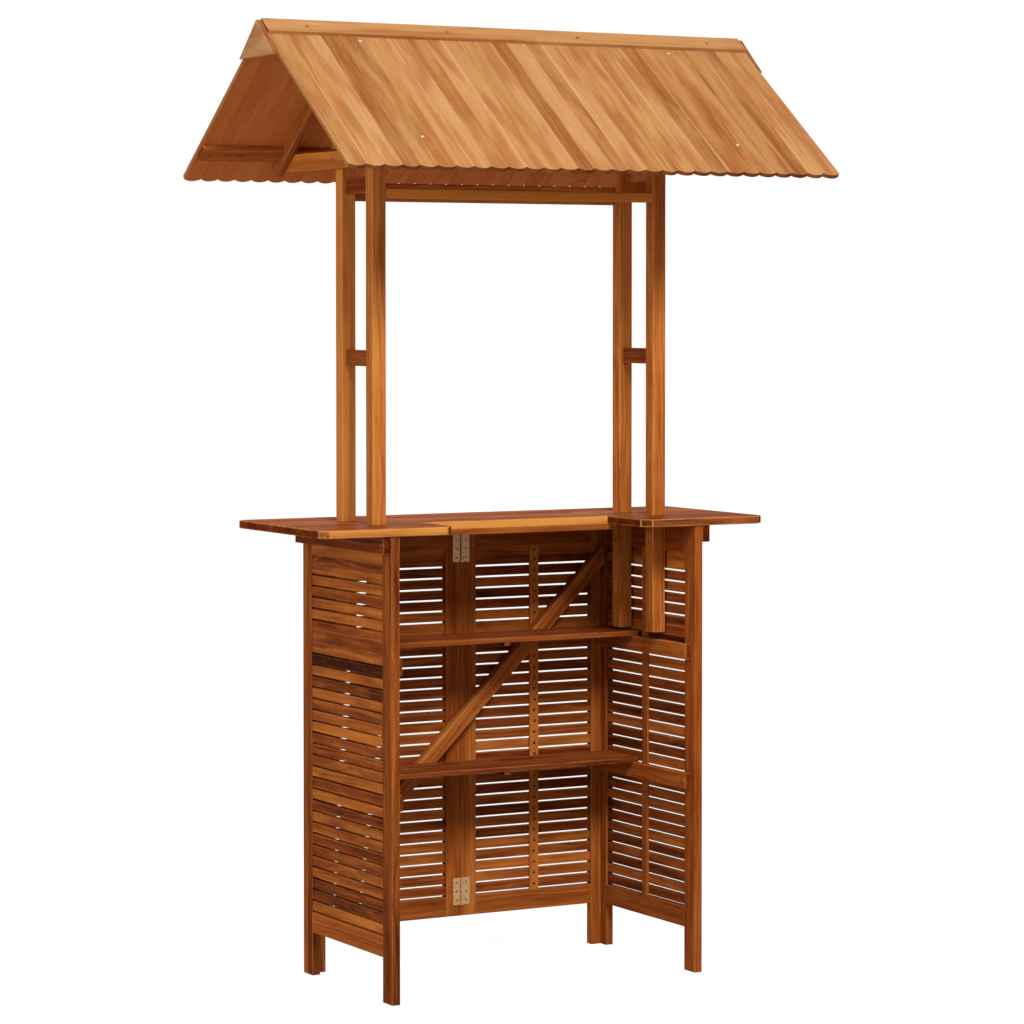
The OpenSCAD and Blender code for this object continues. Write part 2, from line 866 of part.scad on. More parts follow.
module purlin(from, width) {
    half = roof_l / 2 - purlin_end_in;
    difference() {
        box([-half, from, -board_t - purlin_t], [half, from + width, -board_t]);
        at_roof_screws() screw_hole(roof_screw_l);
    }
}

module near_eave_purlin() {
    color(beam_colour) on_near_slope() purlin(eave_purlin_s, eave_purlin_w);
}

module far_eave_purlin() {
    color(beam_colour) on_far_slope() purlin(eave_purlin_s, eave_purlin_w);
}

module ridge_purlins() {
    color(beam_colour) {
        on_near_slope() purlin(ridge_purlin_s, ridge_purlin_w);
        on_far_slope() purlin(ridge_purlin_s, ridge_purlin_w);
    }
}

// One roof board, with a rounded lower end
module board_outline() {
    intersection() {
        union() {
            square([board_w, slope_l - board_end_r]);
            translate([board_w / 2, slope_l - board_end_r])
                circle(r = board_end_r);
        }
        translate([0, board_start])
            square([board_w, slope_l]);
    }
}

module roof_boards() {
    difference() {
        for (i = [0 : board_n - 1])
            translate([-roof_l / 2 + i * board_pitch + board_gap / 2, 0, -board_t])
                linear_extrude(board_t) board_outline();
        at_roof_screws() screw_hole(roof_screw_l);
        at_cap_screws() screw_hole(cap_screw_l);
    }
}

module near_roof_boards() {
    color(board_colour) on_near_slope() roof_boards();
}

module far_roof_boards() {
    color(board_colour) on_far_slope() roof_boards();
}

// Two cap boards, mitred over the ridge
module ridge_caps() {
    run = cap_w * cos(roof_pitch);
    drop = cap_w * sin(roof_pitch);
    color(board_colour) difference() {
        for (side = [-1, 1])
            translate([-roof_l / 2, 0, 0])
                rotate([90, 0, 90])
                    linear_extrude(roof_l)
                        polygon([
                            [0, roof_apex],
                            [side * run, roof_apex - drop],
                            [side * (run + cap_t * sin(roof_pitch)),
                             roof_apex - drop + cap_t * cos(roof_pitch)],
                            [0, overall_h]
                        ]);
        on_near_slope() at_cap_screws() screw_hole(cap_screw_l);
        on_far_slope() at_cap_screws() screw_hole(cap_screw_l);
    }
}

// Triangular plates that close the gable ends at the ridge
module gable_plates() {
    tip = overall_h - plate_drop;
    color(board_colour)
        for (s = [-1, 1])
            on_side(s)
                translate([roof_l / 2, 0, 0])
                    rotate([90, 0, 90])
                        linear_extrude(plate_t)
                            polygon([
                                [-plate_l / 2, tip - plate_h], [plate_l / 2, tip - plate_h],
                                [0, tip]
                            ]);
}

// The screws of one slope
module slope_screws() {
    for (s = [-1, 1])
        at_rafter_screw(s) screw(rafter_screw_l);
    at_roof_screws() screw(roof_screw_l);
    at_cap_screws() screw(cap_screw_l);
}

module wood_screws() {
    color(steel_colour) {
        in_cabinet() {
            for (i = [0 : len(brace_screws) - 1])
                at_brace_screw(i) screw(brace_screws[i][1]);
            for (s = [-1, 1]) {
                at_stile_screws(s) screw(stile_screw_l);
                at_batten_screws(s, upper_shelf_z) screw(batten_screw_l);
                at_batten_screws(s, lower_shelf_z) screw(batten_screw_l);
                at_cleat_screws(s) screw(cleat_screw_l);
                at_counter_screws(s) screw(counter_screw_l);
                for (y = [-post_y, post_y]) {
                    at_post_screws(s, y) screw(post_screw_l);
                    at_tie_screw(s, y) screw(tie_screw_l);
                }
            }
        }
        on_near_slope() slope_screws();
        on_far_slope() slope_screws();
    }
}

near_post(-1);  // left_near_post
far_post(-1);  // left_far_post
side_top_rail(-1);  // left_top_rail
side_bottom_rail(-1);  // left_bottom_rail
side_slats(-1);  // left_slats
side_mullion(-1);  // left_mullion
near_post(1);  // right_near_post
far_post(1);  // right_far_post
side_top_rail(1);  // right_top_rail
side_bottom_rail(1);  // right_bottom_rail
side_slats(1);  // right_slats
side_mullion(1);  // right_mullion
end_stile(-1);  // front_left_end_stile
hinge_stile(-1);  // front_left_hinge_stile
front_rail(-1, top_rail_z, cab_h);  // front_left_top_rail
front_rail(-1, leg_h, rail_top);  // front_left_bottom_rail
front_slats(-1);  // front_left_slats
front_mullion(-1);  // front_left_mullion
end_stile(1);  // front_right_end_stile
hinge_stile(1);  // front_right_hinge_stile
front_rail(1, top_rail_z, cab_h);  // front_right_top_rail
front_rail(1, leg_h, rail_top);  // front_right_bottom_rail
front_slats(1);  // front_right_slats
front_mullion(1);  // front_right_mullion
hinge_leaves(-1, 0);  // hinge_left_leaves
hinge_leaves(1, 1);  // hinge_right_leaves
hinge_pins();
hinge_screws();
diagonal_brace();
shelf_battens(upper_shelf_z);  // upper_shelf_battens
shelf_battens(lower_shelf_z);  // lower_shelf_battens
shelf(upper_shelf_z);  // upper_shelf
shelf(lower_shelf_z);  // lower_shelf
counter_middle();
counter_wing(-1);  // counter_left_wing
counter_wing(1);  // counter_right_wing
counter_batten();
counter_cleats();
roof_post(-1, -post_y);  // near_left_roof_post
roof_post(-1, post_y);  // far_left_roof_post
roof_post(1, -post_y);  // near_right_roof_post
roof_post(1, post_y);  // far_right_roof_post
spacers(lower_spacer_z, lower_spacer_h);  // lower_spacers
spacers(upper_spacer_z, upper_spacer_h);  // upper_spacers
near_top_batten();
far_top_batten();
roof_tie(-1);  // left_tie
roof_tie(1);  // right_tie
near_rafter(-1);  // left_near_rafter
far_rafter(-1);  // left_far_rafter
near_rafter(1);  // right_near_rafter
far_rafter(1);  // right_far_rafter
near_eave_purlin();
far_eave_purlin();
ridge_purlins();
near_roof_boards();
far_roof_boards();
ridge_caps();
gable_plates();
wood_screws();
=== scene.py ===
"""Looks of the outdoor bar table with roof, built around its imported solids.

Every timber of the bar is a welded copy of its solid with eased edges, and carries its own grain: where it
was cut from the log, its tone and its hue. Hinges, screws and nails are modelled here as well.
"""

import logging
import math
import random
import zlib
from dataclasses import dataclass, field
from enum import Enum

import bmesh
import bpy
from mathutils import Matrix, Vector


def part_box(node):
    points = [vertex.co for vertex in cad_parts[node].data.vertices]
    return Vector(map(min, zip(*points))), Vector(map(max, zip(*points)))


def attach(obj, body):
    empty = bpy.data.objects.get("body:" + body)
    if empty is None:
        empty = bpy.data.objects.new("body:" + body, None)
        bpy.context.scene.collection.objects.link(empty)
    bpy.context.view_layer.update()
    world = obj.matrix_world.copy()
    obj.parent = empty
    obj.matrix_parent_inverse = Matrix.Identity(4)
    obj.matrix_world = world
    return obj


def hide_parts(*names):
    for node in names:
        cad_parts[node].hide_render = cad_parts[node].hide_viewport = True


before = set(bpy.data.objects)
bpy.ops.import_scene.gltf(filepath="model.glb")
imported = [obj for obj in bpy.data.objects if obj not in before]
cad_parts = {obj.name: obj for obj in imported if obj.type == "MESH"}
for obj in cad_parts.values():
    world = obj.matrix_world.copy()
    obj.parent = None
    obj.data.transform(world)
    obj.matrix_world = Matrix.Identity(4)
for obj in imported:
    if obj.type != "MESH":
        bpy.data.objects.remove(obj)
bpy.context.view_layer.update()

log = logging.getLogger("bar")
MM = 0.001
BODY = "root"
UP = Vector((0, 0, 1))

Object = bpy.types.Object
Socket = bpy.types.NodeSocket
Span = tuple[float, float]
Triple = tuple[float, float, float]
Axes = tuple[Vector, Vector, Vector]


def colour(hex_code: str) -> tuple[float, float, float, float]:
    """Turns a colour as seen on screen into the linear colour that shaders take.

    Args:
        hex_code: Six hexadecimal digits.

    Returns:
        Linear red, green and blue, and full opacity.
    """
    channels = []
    for start in (0, 2, 4):
        value = int(hex_code[start:start + 2], 16) / 255
        channels.append(value / 12.92 if value <= 0.04045 else ((value + 0.055) / 1.055) ** 2.4)
    return (*channels, 1.0)


def seed_of(name: str) -> random.Random:
    """Returns a random source that depends on a name alone."""
    return random.Random(zlib.crc32(name.encode()))


class Shader:
    """A material's node tree, with short ways to add and join nodes."""

    def __init__(self, name: str) -> None:
        """Makes an empty material with one Principled shader.

        Args:
            name: The material's name.
        """
        self.material = bpy.data.materials.new(name)
        self.material.use_nodes = True
        self.tree = self.material.node_tree
        self.tree.nodes.clear()
        self.output = self.tree.nodes.new("ShaderNodeOutputMaterial")
        self.surface = self.tree.nodes.new("ShaderNodeBsdfPrincipled")
        self.tree.links.new(self.surface.outputs["BSDF"], self.output.inputs["Surface"])

    def put(self, target: Socket, value: object) -> None:
        """Joins a socket to another, or sets its value.

        Args:
            target: The input socket.
            value: An output socket, or a plain value.
        """
        if isinstance(value, Socket):
            self.tree.links.new(value, target)
        else:
            target.default_value = value

    def dress(self, **values: object) -> None:
        """Sets or joins inputs of the Principled shader, such as Base_Color for Base Color."""
        for name, value in values.items():
            self.put(self.surface.inputs[name.replace("_", " ")], value)

    def attribute(self, name: str, output: str = "Fac") -> Socket:
        """Reads an attribute of the mesh.

        Args:
            name: The attribute.
            output: Fac or Vector.

        Returns:
            The attribute's value.
        """
        node = self.tree.nodes.new("ShaderNodeAttribute")
        node.attribute_name = name
        return node.outputs[output]

    def object_place(self) -> Socket:
        """Returns the place on the object, in metres."""
        return self.tree.nodes.new("ShaderNodeTexCoord").outputs["Object"]

    def maths(self, operation: str, first: object, second: object = 0.0, third: object = 0.0,
              clamp: bool = False) -> Socket:
        """Adds a Math node.

        Args:
            operation: Blender's name of the operation.
            first: First number or socket.
            second: Second number or socket.
            third: Third number or socket, where the operation takes one.
            clamp: Whether the result is held between 0 and 1.

        Returns:
            The node's result.
        """
        node = self.tree.nodes.new("ShaderNodeMath")
        node.operation = operation
        node.use_clamp = clamp
        for socket, value in zip(node.inputs, (first, second, third)):
            self.put(socket, value)
        return node.outputs[0]

    def times(self, first: object, second: object) -> Socket:
        """Multiplies two numbers."""
        return self.maths("MULTIPLY", first, second)

    def vector(self, operation: str, first: object, second: object = (0.0, 0.0, 0.0),
               output: str = "Vector") -> Socket:
        """Adds a Vector Math node.

        Args:
            operation: Blender's name of the operation.
            first: First vector or socket.
            second: Second vector or socket.
            output: Vector or Value.

        Returns:
            The result that output names.
        """
        node = self.tree.nodes.new("ShaderNodeVectorMath")
        node.operation = operation
        self.put(node.inputs[0], first)
        self.put(node.inputs[1], second)
        return node.outputs[output]

    def split(self, value: object) -> tuple[Socket, ...]:
        """Splits a vector into its three parts.

        Args:
            value: The vector.

        Returns:
            Its X, Y and Z.
        """
        node = self.tree.nodes.new("ShaderNodeSeparateXYZ")
        self.put(node.inputs[0], value)
        return tuple(node.outputs)

    def noise(self, where: object, scale: float, detail: float = 2.0, roughness: float = 0.5,
              line: bool = False, output: str = "Fac") -> Socket:
        """Adds a Noise texture.

        Args:
            where: A vector, or a number where line is true.
            scale: Scale of the pattern.
            detail: Number of finer layers.
            roughness: Weight of the finer layers.
            line: Whether the noise runs along one number only.
            output: Fac or Color.

        Returns:
            The texture's output socket.
        """
        node = self.tree.nodes.new("ShaderNodeTexNoise")
        node.noise_dimensions = "1D" if line else "3D"
        self.put(node.inputs["W" if line else "Vector"], where)
        self.put(node.inputs["Scale"], scale)
        self.put(node.inputs["Detail"], detail)
        self.put(node.inputs["Roughness"], roughness)
        return node.outputs[output]

    def grained(self, place: Socket, scale: Triple, detail: float = 2.0, roughness: float = 0.5,
                output: str = "Fac") -> Socket:
        """Adds a Noise texture with its own scale in each direction.

        Args:
            place: Place in the log, or on the object.
            scale: Scale along the fibres and in the two directions across them, per metre.
            detail: Number of finer layers.
            roughness: Weight of the finer layers.
            output: Fac or Color.

        Returns:
            The texture's output socket.
        """
        return self.noise(self.vector("MULTIPLY", place, scale), 1.0, detail, roughness, output=output)

    def smooth(self, value: object, low: float, high: float) -> Socket:
        """Maps low to 0 and high to 1 with a smooth step.

        Args:
            value: The number.
            low: What becomes 0.
            high: What becomes 1.

        Returns:
            The mapped number.
        """
        node = self.tree.nodes.new("ShaderNodeMapRange")
        node.interpolation_type = "SMOOTHSTEP"
        self.put(node.inputs["Value"], value)
        self.put(node.inputs["From Min"], low)
        self.put(node.inputs["From Max"], high)
        return node.outputs["Result"]

    def ramp(self, value: object, stops: list[tuple[float, str]]) -> Socket:
        """Adds a colour ramp.

        Args:
            value: Place on the ramp.
            stops: Place and colour of each stop, in order.

        Returns:
            The colour at that place.
        """
        node = self.tree.nodes.new("ShaderNodeValToRGB")
        elements = node.color_ramp.elements
        while len(elements) < len(stops):
            elements.new(0.5)
        for element, (place, code) in zip(elements, stops):
            element.position = place
            element.color = colour(code)
        self.put(node.inputs[0], value)
        return node.outputs["Color"]

    def mix(self, share: object, first: object, second: object, blend: str = "MIX") -> Socket:
        """Mixes two colours.

        Args:
            share: Share of the second colour.
            first: First colour.
            second: Second colour.
            blend: Blender's name of the way to mix.

        Returns:
            The mixed colour.
        """
        node = self.tree.nodes.new("ShaderNodeMix")
        node.data_type = "RGBA"
        node.blend_type = blend
        self.put(node.inputs["Factor"], share)
        self.put(node.inputs["A"], first)
        self.put(node.inputs["B"], second)
        return node.outputs["Result"]

    def stained(self, share: object, base: object, stain: str) -> Socket:
        """Darkens a share of a colour by multiplying it with a stain."""
        return self.mix(share, base, self.mix(1.0, base, colour(stain), "MULTIPLY"))

    def bump(self, height: object, strength: float, distance: float) -> None:
        """Lets a height pattern roughen the surface.

        Args:
            height: The pattern.
            strength: Share of the effect.
            distance: Height of the relief in metres.
        """
        node = self.tree.nodes.new("ShaderNodeBump")
        self.put(node.inputs["Strength"], strength)
        self.put(node.inputs["Distance"], distance)
        self.put(node.inputs["Height"], height)
        self.dress(Normal=node.outputs["Normal"])


HEART_SCALE = (1.1, 16.0, 16.0)
BLOTCH_SCALE = (6.0, 38.0, 38.0)
STREAK_SCALE = (2.4, 95.0, 95.0)
FIBRE_SCALE = (14.0, 620.0, 620.0)
PORE_SCALE = (55.0, 1500.0, 1500.0)
RUB_SCALE = (20.0, 60.0, 60.0)
PATCH_SCALE = (3.2, 19.0, 19.0)
WAVER_SCALE = (6.0, 20.0, 20.0)
BEND_SCALE = (2.6, 7.0, 7.0)
BEND_REACH = (0.0, 0.034, 0.034)
KNOT_SCALE = (2.7, 8.5, 8.5)
STRIP_SHIFT = (3.0, 0.05, 0.09)
RAMP_PLACES = (0.06, 0.46, 0.92)
PORE_STEP = (0.64, 0.74)
PATCH_STEP = (0.42, 0.62)
NEAR_LIGHT_STEP = (0.42, 0.6)
RUB_STEP = (0.25, 0.7)
SAP_STEP = (0.7, 0.95)
SAP_HUES = (0.6, 0.7)
KNOT_STEP = (0.022, 0.07)
KNOT_REACH = (0.02, 0.34)
PATCH_SHARE = 0.6
KNOT_DARKNESS = 0.8
END_DARKENING = 0.8
UNDER_SHADE_SHARE = 0.55
NEAR_LIGHT_SHARE = 0.7
STRIP_TONE = 0.75
RINGS_PER_METRE = 210.0
KNOT_PUSH = 0.012
FIBRE_SPREAD = 0.12
PORE_DEPTH = 0.10
CONTRAST = 1.6
REDDER = "f0b08c"
END_GRAIN_AND_SHADE = "a8785a"


@dataclass(frozen=True)
class Figure:
    """The patterns that one finish is made of."""

    place: Socket
    heart: Socket
    rings: Socket
    streak: Socket
    fibre: Socket
    blotch: Socket
    pores: Socket
    knot: Socket


@dataclass(frozen=True)
class WoodFinish:
    """Oiled hardwood. The mesh says where in the log each point lies, in metres."""

    name: str
    slot: str
    dark: str
    mid: str
    light: str
    worn: str
    tone_spread: float = 0.55
    heart_spread: float = 0.5
    ring_spread: float = 0.3
    roughness: float = 0.46
    wear: float = 0.5
    strip_w: float = 0.0
    red: float = 0.2
    patch: str = ""
    # Colour of painted shade on faces that look down.
    under: str = ""
    # Colour of painted light on faces toward the camera.
    near: str = ""
    sapwood: float = 0.0
    coat: float = 0.05
    streaks: float = 0.42
    knot_share: float = 0.45
    blotch: float = 0.3

    def material(self) -> bpy.types.Material:
        """Builds the finish once and gives out the same one from then on.

        Returns:
            The material.
        """
        known = bpy.data.materials.get(self.name)
        if known is not None:
            return known
        shader = Shader(self.name)
        place = shader.attribute("grain", "Vector")
        tone, hue, _ = shader.split(shader.attribute("board", "Vector"))
        if self.strip_w:
            place, tone = self.glued_strips(shader, place, tone)
        figure = self.figure(shader, place)
        base = self.timber_colour(shader, figure, tone, hue)
        gloss = shader.maths("MULTIPLY_ADD", figure.fibre, 0.16, self.roughness - 0.08)
        shader.dress(Base_Color=self.faces_and_edges(shader, figure, base),
                     Roughness=shader.maths("MULTIPLY_ADD", figure.pores, 0.2, gloss),
                     Specular_IOR_Level=0.0, Coat_Weight=self.coat, Coat_Roughness=0.3)
        relief = shader.maths("MULTIPLY_ADD", figure.streak, 0.6, shader.times(figure.fibre, 0.5))
        shader.bump(shader.maths("SUBTRACT", relief, shader.times(figure.pores, 0.7)), 0.35, 0.4 * MM)
        return shader.material

    def figure(self, shader: Shader, place: Socket) -> Figure:
        """Makes the patterns of the wood.

        Args:
            shader: The material being built.
            place: Place in the log.

        Returns:
            The patterns.
        """
        bent = self.bent_grain(shader, place)
        knot, pushed = self.knots(shader, place)
        return Figure(place=place,
                      heart=shader.grained(bent, HEART_SCALE, 3.0, 0.55),
                      rings=self.rings(shader, bent, pushed),
                      streak=shader.grained(bent, STREAK_SCALE, 3.0, 0.6),
                      fibre=shader.grained(place, FIBRE_SCALE),
                      blotch=shader.grained(bent, BLOTCH_SCALE, 3.0, 0.6),
                      pores=shader.smooth(shader.grained(place, PORE_SCALE, 1.0), *PORE_STEP),
                      knot=knot)

    def timber_colour(self, shader: Shader, figure: Figure, tone: Socket, hue: Socket) -> Socket:
        """Colours the wood by its figure.

        Args:
            shader: The material being built.
            figure: The patterns.
            tone: Tone of each board.
            hue: Hue of each board.

        Returns:
            The colour of the wood.
        """
        level = shader.maths("MULTIPLY_ADD", shader.maths("SUBTRACT", tone, 0.5), self.tone_spread, 0.5)
        for part, share in ((figure.heart, self.heart_spread), (figure.rings, self.ring_spread),
                            (figure.streak, self.streaks), (figure.fibre, FIBRE_SPREAD),
                            (figure.blotch, self.blotch)):
            level = shader.maths("MULTIPLY_ADD", shader.maths("SUBTRACT", part, 0.5), share * CONTRAST,
                                 level)
        level = shader.maths("SUBTRACT", level, shader.times(figure.pores, PORE_DEPTH), clamp=True)
        base = shader.ramp(level, list(zip(RAMP_PLACES, (self.dark, self.mid, self.light))))
        base = shader.stained(shader.times(hue, self.red), base, REDDER)
        if self.patch:
            cloud = shader.grained(figure.place, PATCH_SCALE, 3.0, 0.55)
            share = shader.times(shader.smooth(cloud, *PATCH_STEP), PATCH_SHARE)
            base = shader.stained(share, base, self.patch)
        if self.sapwood:
            base = self.sap_line(shader, hue, base)
        return shader.mix(shader.times(figure.knot, KNOT_DARKNESS), base, colour(self.dark))

    def faces_and_edges(self, shader: Shader, figure: Figure, base: Socket) -> Socket:
        """Darkens the end grain, partly as painted shade, paints shade on faces that look down and light on
        faces toward the camera, and wears the eased edges.

        Args:
            shader: The material being built.
            figure: The patterns.
            base: Colour of the wood.

        Returns:
            The colour of the finished surface.
        """
        # End-grain faces are darkened: partly the oiled end grain's own darker colour, partly painted shade,
        # as in the notches at the eaves.
        base = shader.stained(shader.times(shader.attribute("end"), END_DARKENING), base, END_GRAIN_AND_SHADE)
        # Painted shade: faces that look down are mixed towards a redder brown.
        if self.under:
            share = shader.times(shader.attribute("under"), UNDER_SHADE_SHARE)
            base = shader.mix(share, base, colour(self.under))
        # Painted light: faces toward the camera are lightened towards the near colour, in patches that follow
        # the heartwood pattern.
        if self.near:
            share = shader.times(shader.attribute("near"), shader.smooth(figure.heart, *NEAR_LIGHT_STEP))
            base = shader.mix(shader.times(share, NEAR_LIGHT_SHARE), base, colour(self.near))
        rub = shader.grained(figure.place, RUB_SCALE, 3.0)
        worn = shader.times(shader.attribute("ease"), shader.smooth(rub, *RUB_STEP))
        return shader.mix(shader.times(worn, self.wear), base, colour(self.worn))

    def sap_line(self, shader: Shader, hue: Socket, base: Socket) -> Socket:
        """Leaves pale sapwood along one edge of some boards.

        Args:
            shader: The material being built.
            hue: Hue of each board. Only the reddest boards have sapwood.
            base: Colour of the wood.

        Returns:
            The colour with the sapwood.
        """
        waver = shader.grained(shader.attribute("grain", "Vector"), WAVER_SCALE)
        edge = shader.maths("MULTIPLY_ADD", shader.maths("SUBTRACT", waver, 0.5), 0.5,
                            shader.attribute("across"))
        line = shader.times(shader.smooth(edge, *SAP_STEP), shader.smooth(hue, *SAP_HUES))
        return shader.mix(shader.times(line, self.sapwood), base, colour(self.worn))

    def glued_strips(self, shader: Shader, place: Socket, tone: Socket) -> tuple[Socket, Socket]:
        """Cuts a wide panel into glued strips, each from another place in the log.

        Args:
            shader: The material being built.
            place: Place in the log.
            tone: Tone of the whole panel.

        Returns:
            The place in the log and the tone, strip by strip.
        """
        strip = shader.tree.nodes.new("ShaderNodeTexWhiteNoise")
        strip.noise_dimensions = "1D"
        across = shader.split(place)[1]
        shader.put(strip.inputs["W"], shader.maths("FLOOR", shader.maths("DIVIDE", across, self.strip_w)))
        moved = shader.vector("ADD", place, shader.vector("MULTIPLY", strip.outputs["Color"], STRIP_SHIFT))
        own_tone = shader.times(tone, 1 - STRIP_TONE)
        return moved, shader.maths("MULTIPLY_ADD", strip.outputs["Value"], STRIP_TONE, own_tone)

    def bent_grain(self, shader: Shader, place: Socket) -> Socket:
        """Lets the fibres wander slowly across the board.

        Args:
            shader: The material being built.
            place: Place in the log.

        Returns:
            The place, bent.
        """
        bend = shader.grained(place, BEND_SCALE, output="Color")
        centred = shader.vector("SUBTRACT", bend, (0.5, 0.5, 0.5))
        return shader.vector("ADD", place, shader.vector("MULTIPLY", centred, BEND_REACH))

    def knots(self, shader: Shader, place: Socket) -> tuple[Socket, Socket]:
        """Places a few knots, each with rings that part around it.

        Args:
            shader: The material being built.
            place: Place in the log.

        Returns:
            The share of knot, and how far the rings are pushed aside.
        """
        cells = shader.tree.nodes.new("ShaderNodeTexVoronoi")
        shader.put(cells.inputs["Vector"], shader.vector("MULTIPLY", place, KNOT_SCALE))
        shader.put(cells.inputs["Scale"], 1.0)
        kind = shader.split(cells.outputs["Color"])[0]
        chosen = shader.smooth(kind, 1 - self.knot_share, 1.04 - self.knot_share)
        near = shader.maths("SUBTRACT", 1.0, shader.smooth(cells.outputs["Distance"], *KNOT_STEP))
        around = shader.maths("SUBTRACT", 1.0, shader.smooth(cells.outputs["Distance"], *KNOT_REACH))
        return shader.times(near, chosen), shader.times(around, chosen)

    def rings(self, shader: Shader, place: Socket, pushed: Socket) -> Socket:
        """Draws the growth rings by their distance from the log's heart.

        Args:
            shader: The material being built.
            place: Place in the log.
            pushed: How far knots push the rings aside.

        Returns:
            The pattern of the rings.
        """
        radius = shader.vector("LENGTH", shader.vector("MULTIPLY", place, (0.0, 1.0, 1.0)), output="Value")
        radius = shader.maths("MULTIPLY_ADD", pushed, KNOT_PUSH, radius)
        return shader.noise(radius, RINGS_PER_METRE, 2.0, 0.6, line=True)


@dataclass(frozen=True)
class MetalFinish:
    """Plated metal with light scratches and dull patches, darkened by an attribute: real tarnish on the hinge
    screws, painted shade on the wood screws away from the lit front of the roof.
    """

    name: str
    slot: str
    bright: str
    dull: str
    roughness: float = 0.3
    metallic: float = 1.0
    tarnish: str = "6e4a32"
    lost_shine: float = 0.75
    patches_per_metre: float = 260.0
    scratch_scale: Triple = (3000.0, 3000.0, 160.0)

    def material(self) -> bpy.types.Material:
        """Builds the finish once and gives out the same one from then on.

        Returns:
            The material.
        """
        known = bpy.data.materials.get(self.name)
        if known is not None:
            return known
        shader = Shader(self.name)
        place = shader.object_place()
        patches = shader.noise(place, self.patches_per_metre, 4.0, 0.6)
        plating = shader.mix(shader.smooth(patches, 0.35, 0.7), colour(self.bright), colour(self.dull))
        # Share of darkening: tarnish on hinge screws, painted shade on wood screws.
        dull_share = shader.attribute("tarnish")
        shader.dress(Base_Color=shader.mix(dull_share, plating, colour(self.tarnish)),
                     Metallic=shader.maths("MULTIPLY_ADD", dull_share, -self.lost_shine * self.metallic,
                                           self.metallic),
                     Roughness=shader.maths("MULTIPLY_ADD", patches, 0.3, self.roughness - 0.1))
        shader.bump(shader.grained(place, self.scratch_scale), 0.12, 0.2 * MM)
        return shader.material


POST_WOOD = WoodFinish("post_oiled_wood", "post_wood", "57240d", "9c5421", "c98240", "d08c4c",
                       tone_spread=0.4, heart_spread=0.45, ring_spread=0.32)
RAIL_WOOD = WoodFinish("rail_oiled_wood", "rail_wood", "4c200c", "8a461b", "bb7030", "c88040",
                       tone_spread=0.45, heart_spread=0.45)
SLAT_WOOD = WoodFinish("slat_oiled_wood", "slat_wood", "3a170b", "84421c", "bd7130", "bd7638",
                       tone_spread=0.62, heart_spread=0.4, ring_spread=0.28, sapwood=0.55, streaks=0.3,
                       blotch=0.6)
SHELF_WOOD = WoodFinish("shelf_oiled_wood", "shelf_wood", "3c1608", "7c3d1b", "a8642c", "b4703a",
                        tone_spread=0.4, ring_spread=0.35)
# The counter wood paints light on its faces toward the camera.
COUNTER_WOOD = WoodFinish("counter_oiled_wood", "counter_wood", "4e230f", "925027", "bf7e42", "d89a54",
                          tone_spread=0.45, heart_spread=0.45, ring_spread=0.35, roughness=0.42,
                          strip_w=82 * MM, coat=0.02, near="e09a48", blotch=0.4)
# The roof wood paints shade on its faces that look down, in a redder brown.
ROOF_WOOD = WoodFinish("roof_oiled_wood", "roof_wood", "76431e", "a97847", "c09565", "c9a37c",
                       tone_spread=0.5, heart_spread=0.4, ring_spread=0.25, roughness=0.5, wear=0.35,
                       red=0.12, patch="d8a890", under="cc682c", sapwood=0.35, streaks=0.2, knot_share=0.6,
                       blotch=0.25)
BEAM_WOOD = WoodFinish("beam_oiled_wood", "beam_wood", "57260e", "985223", "c77f38", "cc8846",
                       tone_spread=0.4, heart_spread=0.45)
BRASS = MetalFinish("plated_brass", "brass", "d2aa78", "a27a4c", roughness=0.42, metallic=0.4)
STEEL = MetalFinish("zinc_plated_steel", "screw_steel", "dcd9d4", "a8a49e", metallic=0.7)
NAIL_STEEL = MetalFinish("browned_nail_steel", "screw_steel", "4a2010", "2c140a", roughness=0.55,
                         metallic=0.2)


class Run(Enum):
    """How the fibres of a timber run, and which way lies across its face."""

    LENGTH = ((1.0, 0.0, 0.0), (0.0, 1.0, 0.0))
    LENGTH_UPRIGHT = ((1.0, 0.0, 0.0), (0.0, 0.0, 1.0))
    DEPTH = ((0.0, 1.0, 0.0), (0.0, 0.0, 1.0))
    HEIGHT_WIDE = ((0.0, 0.0, 1.0), (1.0, 0.0, 0.0))
    HEIGHT_DEEP = ((0.0, 0.0, 1.0), (0.0, 1.0, 0.0))

    def axes(self) -> Axes:
        """Returns the directions along the fibres, across the face and out of it."""
        along, across = Vector(self.value[0]), Vector(self.value[1])
        return along, across, along.cross(across)


def leaning(along: Vector, across: Vector) -> Axes:
    """Finds the three directions of a timber that lies at an angle.

    Args:
        along: Direction of the fibres.
        across: Direction roughly across the face.

    Returns:
        Directions along the fibres, across the face and out of it.
    """
    along = along.normalized()
    across = (across - along * across.dot(along)).normalized()
    return along, across, along.cross(across)


def deselect() -> None:
    """Leaves edit mode and selects nothing."""
    if bpy.context.object is not None and bpy.context.object.mode != "OBJECT":
        bpy.ops.object.mode_set(mode="OBJECT")
    bpy.ops.object.select_all(action="DESELECT")


def pick(piece: Object) -> None:
    """Selects one piece alone and makes it the active one.

    Args:
        piece: The piece.
    """
    deselect()
    piece.select_set(True)
    bpy.context.view_layer.objects.active = piece


def settle(piece: Object, material: bpy.types.Material, nodes: tuple[str, ...] = ()) -> None:
    """Gives a finished piece its material, its body and the solids that it stands for.

    Args:
        piece: The finished piece.
        material: Its material.
        nodes: CAD nodes that the piece replaces.
    """
    piece.data.materials.clear()
    piece.data.materials.append(material)
    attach(piece, BODY)
    if nodes:
        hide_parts(*nodes)
    log.info("%s: %d faces, %s", piece.name, len(piece.data.polygons), material.name)


WELD = 0.01 * MM
FLAT = math.radians(0.6)
SHARP = math.radians(25)
EASE_STEPS = 2
SMOOTH_TIMBER = math.radians(32)
SMOOTH_NAIL = math.radians(50)
SMOOTH_SCREW = math.radians(40)


